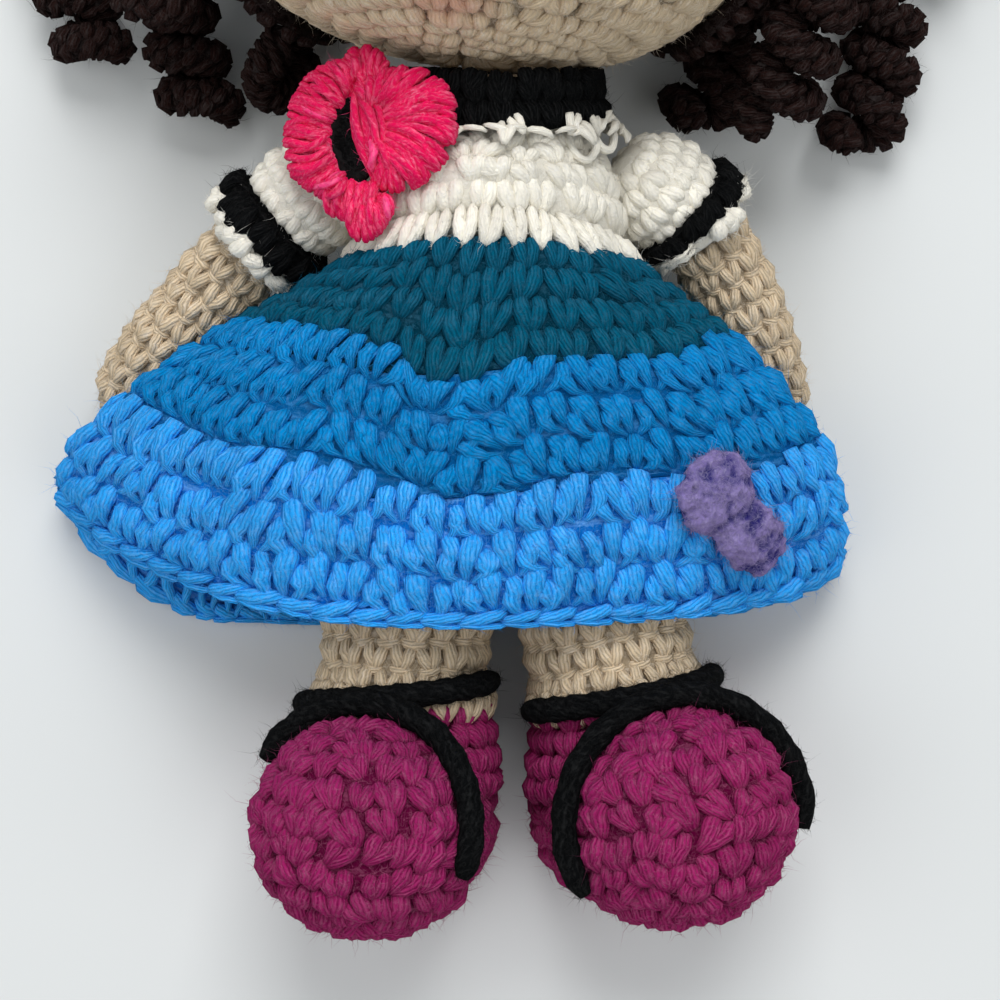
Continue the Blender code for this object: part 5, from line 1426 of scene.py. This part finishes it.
class DOLL_OT_skirt(bpy.types.Operator):
    """The three tiers of the skirt, with their tall stitches and the chained hem"""

    bl_idname = "doll.skirt"
    bl_label = "Skirt"

    def execute(self, context):
        sizes = context.scene.doll_sizes
        slots = {"top": "teal_yarn", "middle": "mid_blue_yarn", "hem": "light_blue_yarn"}
        angles = even_angles(0.7, 260)
        teal, blue = edge_shares(TEAL_EDGE, angles), edge_shares(BLUE_EDGE, angles)
        seen_edges = {"top": (0 * teal, teal + 0.02), "middle": (teal, blue), "hem": (blue, 0 * blue + 1)}
        plump = vee_stitch(6.6 * MM, 6.4 * MM, 1.5 * MM)
        flat = vee_stitch(9.0 * MM, 8.0 * MM, 1.0 * MM, 6)
        for i, (name, start, end) in enumerate(SKIRT_TIERS):
            material = yarn(slots[name])
            gap = TIER_GAP / (SKIRT_WAIST - SKIRT_HEM) if start > 0 else 0
            outer, inner = (
                skirt_cloth(packed_edge(start, angles) + gap, packed_edge(end, angles), angles, 24, side * 0.5 * MM)
                for side in (1, -1)
            )
            made = Yarn()
            # Each tier's cloth is drawn wholly in its deep colour: painted shade under its stitches
            made.skin(np.concatenate([outer.points, inner.points[::-1]]), looped=True)
            cloth = made.piece(f"skirt_{name}_cloth", material)
            finished(cloth, "torso", slots[name], f"skirt_{name}_tier")
            area = float(sum(outer.around[:-1] * np.diff(outer.travel)))
            face, lining = (skirt_cloth(*seen_edges[name], angles, outset=side * 0.5 * MM) for side in (1, -1))
            stitches = Yarn()
            if name == "top":
                lay(stitches, face, plump, (0, face.length), 51, lift=-0.6 * MM, upside=True, lean=0.2, wander=0.12)
            else:
                room = face.length - (3.4 * MM if name == "hem" else 0)
                leaf = leaf_stitch(sizes.leaf_width * (1.04 if name == "hem" else 1), sizes.leaf_height, 1.5 * MM)
                lay(stitches, face, leaf, (0, room), 53 + i, lift=-0.1 * MM, upside=True, rows=3, lean=0.24, wander=0.12)
            backing = Yarn()
            lay(backing, lining, flat, (0, lining.length), 56 + i, lift=0.5 * MM, inside=True, upside=True)
            if name == "hem":
                for k, (rim, within) in enumerate(((face, False), (lining, True))):
                    for slope, low, high in ((1, 3.9, 0.9), (-1, 1.6, -0.6)):
                        chain = slanted_stitch(7.2 * MM, 3.0 * MM, 1.35 * MM, slope=slope)
                        span = (rim.length - low * MM, rim.length - high * MM)
                        lay(backing if within else stitches, rim, chain, span, 60 + k, inside=within, upside=True, rows=1)
            upper = stitches.piece(f"skirt_{name}_stitches", material)
            finished(upper, "torso", slots[name])
            lower = backing.piece(f"skirt_{name}_lining", material)
            finished(lower, "torso", slots[name])
            fibres = {"top": 8500, "middle": 9500, "hem": 12500}[name]
            add_halo(f"skirt_{name}_halo", [upper], "torso", material, slots[name], fibres, 63 + i, reach=1.4 * MM)
        self.add_waist(angles)
        return {"FINISHED"}

    def add_waist(self, angles):
        """The last white round of the bodice, whose points lie over the teal."""
        rings = []
        for height, outset in ((-6.5, 0.6), (-9.5, 1.2), (-11.5, 2.2)):
            share = (TORSO_TOP - height * MM) / TORSO_LENGTH
            wide, deep = torso_half(share, 1) + outset * MM, torso_half(share, 2) + outset * MM
            y = height * MM - SKIRT_WAIST_DIP * np.cos(angles) ** 2
            rings.append(np.stack([wide * np.cos(angles), y, TORSO_RISE + deep * np.sin(angles)], -1))
        over = skirt_cloth(0 * angles, 0 * angles + 0.06, angles, rows=4, outset=1.7 * MM)
        band = Cloth(np.concatenate([np.array(rings), over.points]))
        made = Yarn()
        points = vee_stitch(6.8 * MM, 6.0 * MM, 1.5 * MM, spread=0.25)
        lay(made, band, points, (1.4 * MM, 8.0 * MM), 69, lift=-1.0 * MM, upside=True, rows=1)
        waist = made.piece("waist_points", yarn("white_yarn"))
        finished(waist, "torso", "white_yarn")
        add_halo("waist_halo", [waist], "torso", yarn("white_yarn"), "white_yarn", 2500, 49, reach=1.0 * MM)


class DOLL_OT_arms(bpy.types.Operator):
    """Both arms with their puffed sleeves, cuffs and scalloped edges"""

    bl_idname = "doll.arms"
    bl_label = "Arms"

    def execute(self, context):
        white, black, skin = yarn("white_yarn"), yarn("black_yarn"), yarn("skin_yarn")
        for i, side in enumerate(SIDES):
            body = f"{side}_arm"
            cloth = arm_cloth(side, 0)
            length = arm_length(side)
            seen_from = CUFF_START + CUFF_HEIGHT + 0.5 * MM
            arm = stitched(
                f"arm_crochet_{side}", cloth, tight_stitch(0.95), (seen_from, cloth.length), 70 + i, skin, upside=True
            )
            finished(arm, body, "skin_yarn", f"arm_{side}", f"arm_stuffing_{side}")
            add_halo(f"arm_halo_{side}", [arm], body, skin, "skin_yarn", 4500, 72 + i)
            along = unit(np.array(ARM_BEND[side], float))
            angles = np.linspace(math.pi - 0.15, 0.62, 24)
            centres = np.array(SHOULDER[side]) * MM + along * (SLEEVE_RADIUS * np.cos(angles))[:, None]
            ways = np.repeat(along[None], 24, 0)
            puff = Cloth(rings_about(centres, ways, SLEEVE_RADIUS * np.sin(angles), 48))
            sleeve = stitched(f"sleeve_crochet_{side}", puff, full_stitch(0.85), (3 * MM, puff.length), 74 + i, white, 0.6 * MM, 1.7 * MM)
            finished(sleeve, body, "white_yarn", f"sleeve_{side}")
            add_halo(f"sleeve_halo_{side}", [sleeve], body, white, "white_yarn", 2800, 76 + i)
            shares = np.linspace(CUFF_START, CUFF_START + CUFF_HEIGHT, 14) / length
            curve = 1 - np.abs(np.linspace(-1, 1, 14)) ** 4
            outer = Cloth(arm_rings(side, shares, CUFF_RADIUS - 1.1 * MM * (1 - curve)))
            inner = Cloth(arm_rings(side, shares, np.full(14, ARM_RADIUS + 0.4 * MM)))
            cuff = walled(f"cuff_crochet_{side}", outer, inner, full_stitch(0.9), (0, outer.length), 78 + i, black, lean=0.3, wander=0.2)
            finished(cuff, body, "black_yarn", f"cuff_{side}")
            add_halo(f"cuff_halo_{side}", [cuff], body, black, "black_yarn", 2000, 80 + i)
            shares = np.linspace(CUFF_START + CUFF_HEIGHT - 1.4 * MM, CUFF_START + CUFF_HEIGHT + 2.8 * MM, 10) / length
            rim = Cloth(arm_rings(side, shares, np.linspace(CUFF_RADIUS - 0.2 * MM, 11.2 * MM, 10)))
            rim_inner = Cloth(arm_rings(side, shares, np.full(10, ARM_RADIUS + 0.5 * MM)))
            edge = Yarn()
            # The edge's ground is drawn in its deep colour: painted shade under its stitches
            edge.skin(np.concatenate([rim.grown(-1.2 * MM)[3:], rim_inner.points[3:][::-1]]), looped=True, flip=rim.sign < 0)
            lay(edge, rim, full_stitch(0.92), (0.0, rim.length), 82 + i, lift=-0.9 * MM, wander=0.45, lean=0.7, rows=1)
            edge = edge.piece(f"cuff_edge_crochet_{side}", white)
            finished(edge, body, "white_yarn", f"cuff_edge_{side}")
            add_halo(f"cuff_edge_halo_{side}", [edge], body, white, "white_yarn", 1500, 84 + i)
        return {"FINISHED"}


class DOLL_OT_legs(bpy.types.Operator):
    """Both legs, shoes and their crossed straps"""

    bl_idname = "doll.legs"
    bl_label = "Legs"

    def execute(self, context):
        skin, magenta, black = yarn("skin_yarn"), yarn("magenta_yarn"), yarn("black_yarn")
        for i, (side, sign) in enumerate(SIDES.items()):
            body = f"{side}_leg"
            cloth = leg_cloth(side, 0)
            seam = cloth.length - 10.5 * MM
            leg = stitched(f"leg_crochet_{side}", cloth, tight_stitch(), (24 * MM, seam), 90 + i, skin, upside=True)
            finished(leg, body, "skin_yarn", f"leg_{side}", f"leg_stuffing_{side}")
            add_halo(f"leg_halo_{side}", [leg], body, skin, "skin_yarn", 3500, 92 + i)
            cuff, drops = Yarn(), np.linspace(-39.6, -59, 14)
            turns = math.tau * np.arange(72) / 72
            flare = (17.0 + 2.6 * smooth_step(-41, -56, drops)) * MM
            rings = [np.stack([r * np.cos(turns), 0 * turns + y * MM, r * np.sin(turns)], -1) for r, y in zip(flare, drops)]
            ankle = Cloth(on_table(leg_place(side, np.array(rings))))
            # The ground under the shoe's top rounds is drawn in its deep colour: painted shade
            cuff.skin(ankle.grown(-BASE_DEPTH), flip=ankle.sign < 0)
            lay(cuff, ankle, full_stitch(0.95), (0.0, ankle.length), 110 + i, lift=-0.6 * MM, lean=0.3, upside=True, rows=4)
            finished(cuff.piece(f"shoe_top_{side}", magenta), body, "magenta_yarn")
            points = Yarn()
            tip = vee_stitch(6.0 * MM, 5.2 * MM, 1.25 * MM, spread=0.30)
            lay(points, cloth, tip, (seam - 1.8 * MM, seam + 3.8 * MM), 112 + i, lift=0.4 * MM, rows=1, upside=True)
            finished(points.piece(f"leg_points_{side}", skin), body, "skin_yarn")
            cloth = shoe_cloth(side, 0)
            shoe = stitched(
                f"shoe_crochet_{side}", cloth, full_stitch(0.98), (2 * MM, cloth.length - 2 * MM), 94 + i, magenta,
                lean=0.42, wander=0.2,
            )
            finished(shoe, body, "magenta_yarn", f"shoe_{side}", f"shoe_stuffing_{side}")
            add_halo(f"shoe_halo_{side}", [shoe], body, magenta, "magenta_yarn", 10000, 96 + i, reach=1.4 * MM)
            self.add_straps(side, sign, body, black, 98 + i)
        return {"FINISHED"}

    def add_straps(self, side, sign, body, material, seed):
        """The instep strap over the toe ball and the ankle strap across the leg."""
        heel, toe = np.array(HEEL[side]) * MM, np.array(TOE[side]) * MM
        along = unit(toe - heel)
        up = np.array((0.0, 1.0, 0.0))
        inward = np.cross(along, up) * sign
        steps = np.linspace(0, 1, 60)
        first, last = INSTEP_DEG[side]
        angle = np.radians(first + (last - first) * steps)
        share = INSTEP_SHARES[side][0] + (INSTEP_SHARES[side][1] - INSTEP_SHARES[side][0]) * (1 - np.cos(math.pi * steps)) / 2
        wide = np.interp(share, FOOT_SHARES[:, 0], FOOT_SHARES[:, 1])
        place = heel + (toe - heel) * share[:, None]
        instep = (
            place
            + inward * ((wide * FOOT_HALF_WIDE + STRAP_CLEAR) * np.cos(angle))[:, None]
            + up * ((wide * FOOT_HALF_HIGH + STRAP_CLEAR) * np.sin(angle))[:, None]
        )
        angle = np.radians(ANKLE_DEG[0] + (ANKLE_DEG[1] - ANKLE_DEG[0]) * steps)
        half = LEG_RADIUS + STRAP_CLEAR
        inner_drop, outer_drop = ANKLE_DROPS[side]
        drop = inner_drop + (outer_drop - inner_drop) * steps
        ankle = np.stack([-sign * half * np.cos(angle), ANKLE_LINE - drop, half * np.sin(angle)], -1)
        made_straps = []
        for k, (name, line) in enumerate((("instep_strap", instep), ("ankle_strap", ankle))):
            line = leg_place(side, line)
            thick = STRAP_RADIUS * (0.55 + 0.45 * smooth_step(0, 0.045, np.minimum(steps, 1 - steps)))
            lumps = 1 + 0.07 * np.sin(np.arange(60) * 1.3 + k) + 0.04 * np.sin(np.arange(60) * 2.9 + seed)
            surface = Cloth(rings_about(line, np.gradient(line, axis=0), thick * lumps, 16, up=(0.3, 1.0, 0.2)))
            made = Yarn()
            made.skin(surface.points, flip=surface.sign < 0, depth=0.8, plies=9)
            made_straps.append(finished(made.piece(f"{name}_crochet_{side}", material), body, "black_yarn", f"{name}_{side}"))
        add_halo(f"straps_halo_{side}", made_straps, body, material, "black_yarn", 3500, seed + 4)


class DOLL_OT_flower(bpy.types.Operator):
    """The flower of looped yarn round its black centre"""

    bl_idname = "doll.flower"
    bl_label = "Flower"

    def execute(self, context):
        pink, black = yarn("pink_yarn"), yarn("black_yarn")
        rise, middle, slope = FLOWER_PLANE
        rng = np.random.default_rng(7)

        def at(points, height):
            """Points on the flower's leaning plane."""
            points = np.asarray(points, float)
            z = rise + (points[..., 0] - middle) * slope + height
            return np.concatenate([points, z[..., None]], -1) * MM

        petals = []
        for name, (inner, outer, count, puff) in PETALS.items():
            made = Yarn()
            inner_line, outer_line = rounded_line(inner, 40), rounded_line(outer, 40)
            amounts = (int(0.7 * count), int(1.0 * count), int(1.2 * count))
            for layer, (amount, drop) in enumerate(zip(amounts, (0.0, 0.8, 1.5))):
                bow = rng.normal(0, 0.08)
                for j in range(amount):
                    share = (j + 0.5 * (layer % 2) + 0.5) / amount + rng.normal(0, 0.35) / amount
                    a = along_line(inner_line, [np.clip(share + rng.normal(0, 0.05), 0, 1)])[0] + rng.normal(0, 0.5, 2)
                    b = along_line(outer_line, [np.clip(share + rng.normal(0, 0.03), 0, 1)])[0]
                    if layer == 0:
                        b = a + (b - a) * rng.uniform(0.72, 0.97)
                    angle = np.linspace(-0.25, 1.15, 12) * math.pi
                    travel = (1 - np.cos(angle)) / 2
                    sag = np.array((b[1] - a[1], a[0] - b[0])) * (bow + 0.24 * (0.5 - share) + rng.normal(0, 0.06))
                    flat = a + (b - a) * (travel * (1 - 0.04 * drop))[:, None] + sag * np.sin(math.pi * travel)[:, None]
                    arch = np.sin(angle) * (puff - drop + rng.normal(0, 0.35))
                    line = at(flat, arch - 0.8)
                    full = np.interp(np.arange(12), (0, 1, 10, 11), (0.7, 1, 1, 0.7))[:, None]
                    points, faces, uvs, marks = strand(np.concatenate([line, full], -1), 0.74 * MM, 6, 1.0, 3)
                    # Painted shade: each loop is darker low on its arch, and the lower layers are darker than the top
                    # one
                    marks[:, 0] *= np.repeat(np.clip(0.30 + 0.75 * arch / puff, 0, 1), 6) * (1.0, 0.7, 0.45)[layer]
                    marks[:, 2] = rng.uniform(-1, 1)
                    made.add(points, faces, uvs, marks)
            petal = made.piece(f"flower_{name}_loops", pink)
            petals.append(finished(petal, "torso", "pink_yarn", *[f"flower_petal_{name}"] * (name != "right_edge")))
        self.add_beds(pink, at)
        add_halo("flower_halo", petals, "torso", pink, "pink_yarn", 6000, 8, reach=1.1 * MM)
        turns = math.tau * np.arange(32) / 32
        rings = []
        for level in np.sin(np.linspace(-1.35, 1.35, 9)):
            across = math.sqrt(1 - level**2)
            flat = np.stack([5.0 * across * np.cos(turns), 9.4 * across * np.sin(turns)], -1)
            lean = math.radians(12)
            spin = np.array(((math.cos(lean), math.sin(lean)), (-math.sin(lean), math.cos(lean))))
            rings.append(at(flat @ spin + (-26.6, 6.6), level * 2.2 - 0.6))
        heart = Cloth(np.array(rings))
        made = Yarn()
        # The centre is drawn wholly in the black's deep colour: painted shade
        made.skin(heart.points, flip=heart.sign < 0)
        finished(made.piece("flower_heart", black), "torso", "black_yarn", "flower_centre")
        return {"FINISHED"}

    def add_beds(self, material, at):
        """Soft beds under the loops, so that the chest doesn't show between them, drawn in the pink's deep colour as
        painted shade between the loops.
        """
        made = Yarn()
        for inner, outer, count, puff in PETALS.values():
            if count == 7:
                continue
            inner_line, outer_line = rounded_line(inner, 14), rounded_line(outer, 14)
            outline = np.concatenate([inner_line, outer_line[::-1]])
            centre = outline.mean(0)
            rings = []
            for level in np.sin(np.linspace(-1.3, 1.3, 7)):
                size = 0.88 * math.sqrt(1 - level**2)
                rings.append(at(centre + (outline - centre) * size, level * puff * 0.5 + puff * 0.1 - 0.8))
            bed = Cloth(np.array(rings))
            made.skin(bed.points, flip=bed.sign < 0, depth=0.05)
        finished(made.piece("flower_beds", material), "torso", "pink_yarn")


class DOLL_OT_bow(bpy.types.Operator):
    """The felted bow, lumpy as wool that was rolled by hand"""

    bl_idname = "doll.bow"
    bl_label = "Bow"

    def execute(self, context):
        node = NODES["felt_bow"]
        bpy.ops.object.select_all(action="DESELECT")
        bow = bpy.data.objects.new("felted_bow", node.data.copy())
        context.scene.collection.objects.link(bow)
        context.view_layer.objects.active = bow
        bow.select_set(True)
        even = bow.modifiers.new("even", "REMESH")
        even.mode, even.voxel_size = "VOXEL", 0.55 * MM
        bpy.ops.object.modifier_apply(modifier="even")
        smooth = np.empty(len(bow.data.vertices) * 3)
        bow.data.vertices.foreach_get("co", smooth)
        normals = np.empty(len(smooth))
        bow.data.vertex_normals.foreach_get("vector", normals)
        for name, size, strength in (("lumps", 5.0 * MM, 3.0 * MM), ("tufts", 1.2 * MM, 0.9 * MM)):
            texture = bpy.data.textures.new(name, "CLOUDS")
            texture.noise_scale, texture.noise_depth = size, 2
            step = bow.modifiers.new(name, "DISPLACE")
            step.texture, step.strength, step.mid_level = texture, strength, 0.5
            bpy.ops.object.modifier_apply(modifier=name)
        bow.data.materials.clear()
        bow.data.materials.append(yarn("purple_felt"))
        bow.data.shade_smooth()
        lumpy = np.empty(len(smooth))
        bow.data.vertices.foreach_get("co", lumpy)
        # Painted shade: hollows between the felt's lumps are drawn in its deep colour, the raised lumps in its full
        # colour
        rise = ((lumpy - smooth) * normals).reshape(-1, 3).sum(1)
        marks = np.zeros((len(rise), 3))
        marks[:, 0] = np.clip(0.45 + rise / (1.6 * MM), 0, 1)
        bow.data.attributes.new("yarn", "FLOAT_VECTOR", "POINT").data.foreach_set("vector", marks.astype(np.float32).ravel())
        finished(bow, "torso", "purple_felt", "felt_bow")
        add_halo("bow_halo", [bow], "torso", yarn("purple_felt"), "purple_felt", 3500, 9, reach=1.2 * MM)
        return {"FINISHED"}


class DOLL_PT_panel(bpy.types.Panel):
    """Buttons that make the doll's pieces"""

    bl_label = "Crocheted doll"
    bl_idname = "DOLL_PT_panel"
    bl_space_type = "VIEW_3D"
    bl_region_type = "UI"
    bl_category = "Doll"

    def draw(self, context):
        for group in (context.scene.doll_sizes, context.scene.doll_colours):
            for name in group.__annotations__:
                self.layout.prop(group, name)
        for maker in MAKERS:
            self.layout.operator(maker.bl_idname)


MAKERS = (
    DOLL_OT_stage,
    DOLL_OT_head,
    DOLL_OT_hair,
    DOLL_OT_torso,
    DOLL_OT_skirt,
    DOLL_OT_arms,
    DOLL_OT_legs,
    DOLL_OT_flower,
    DOLL_OT_bow,
)
CLASSES = (DollSizes, DollColours, *MAKERS, DOLL_PT_panel)


def register():
    for each in CLASSES:
        bpy.utils.register_class(each)
    bpy.types.Scene.doll_sizes = bpy.props.PointerProperty(type=DollSizes)
    bpy.types.Scene.doll_colours = bpy.props.PointerProperty(type=DollColours)


def unregister():
    del bpy.types.Scene.doll_sizes
    del bpy.types.Scene.doll_colours
    for each in reversed(CLASSES):
        bpy.utils.unregister_class(each)


def main():
    register()
    bpy.ops.object.select_all(action="DESELECT")
    for maker in MAKERS:
        group, name = maker.bl_idname.split(".")
        getattr(getattr(bpy.ops, group), name)()


if __name__ == "__main__":
    main()
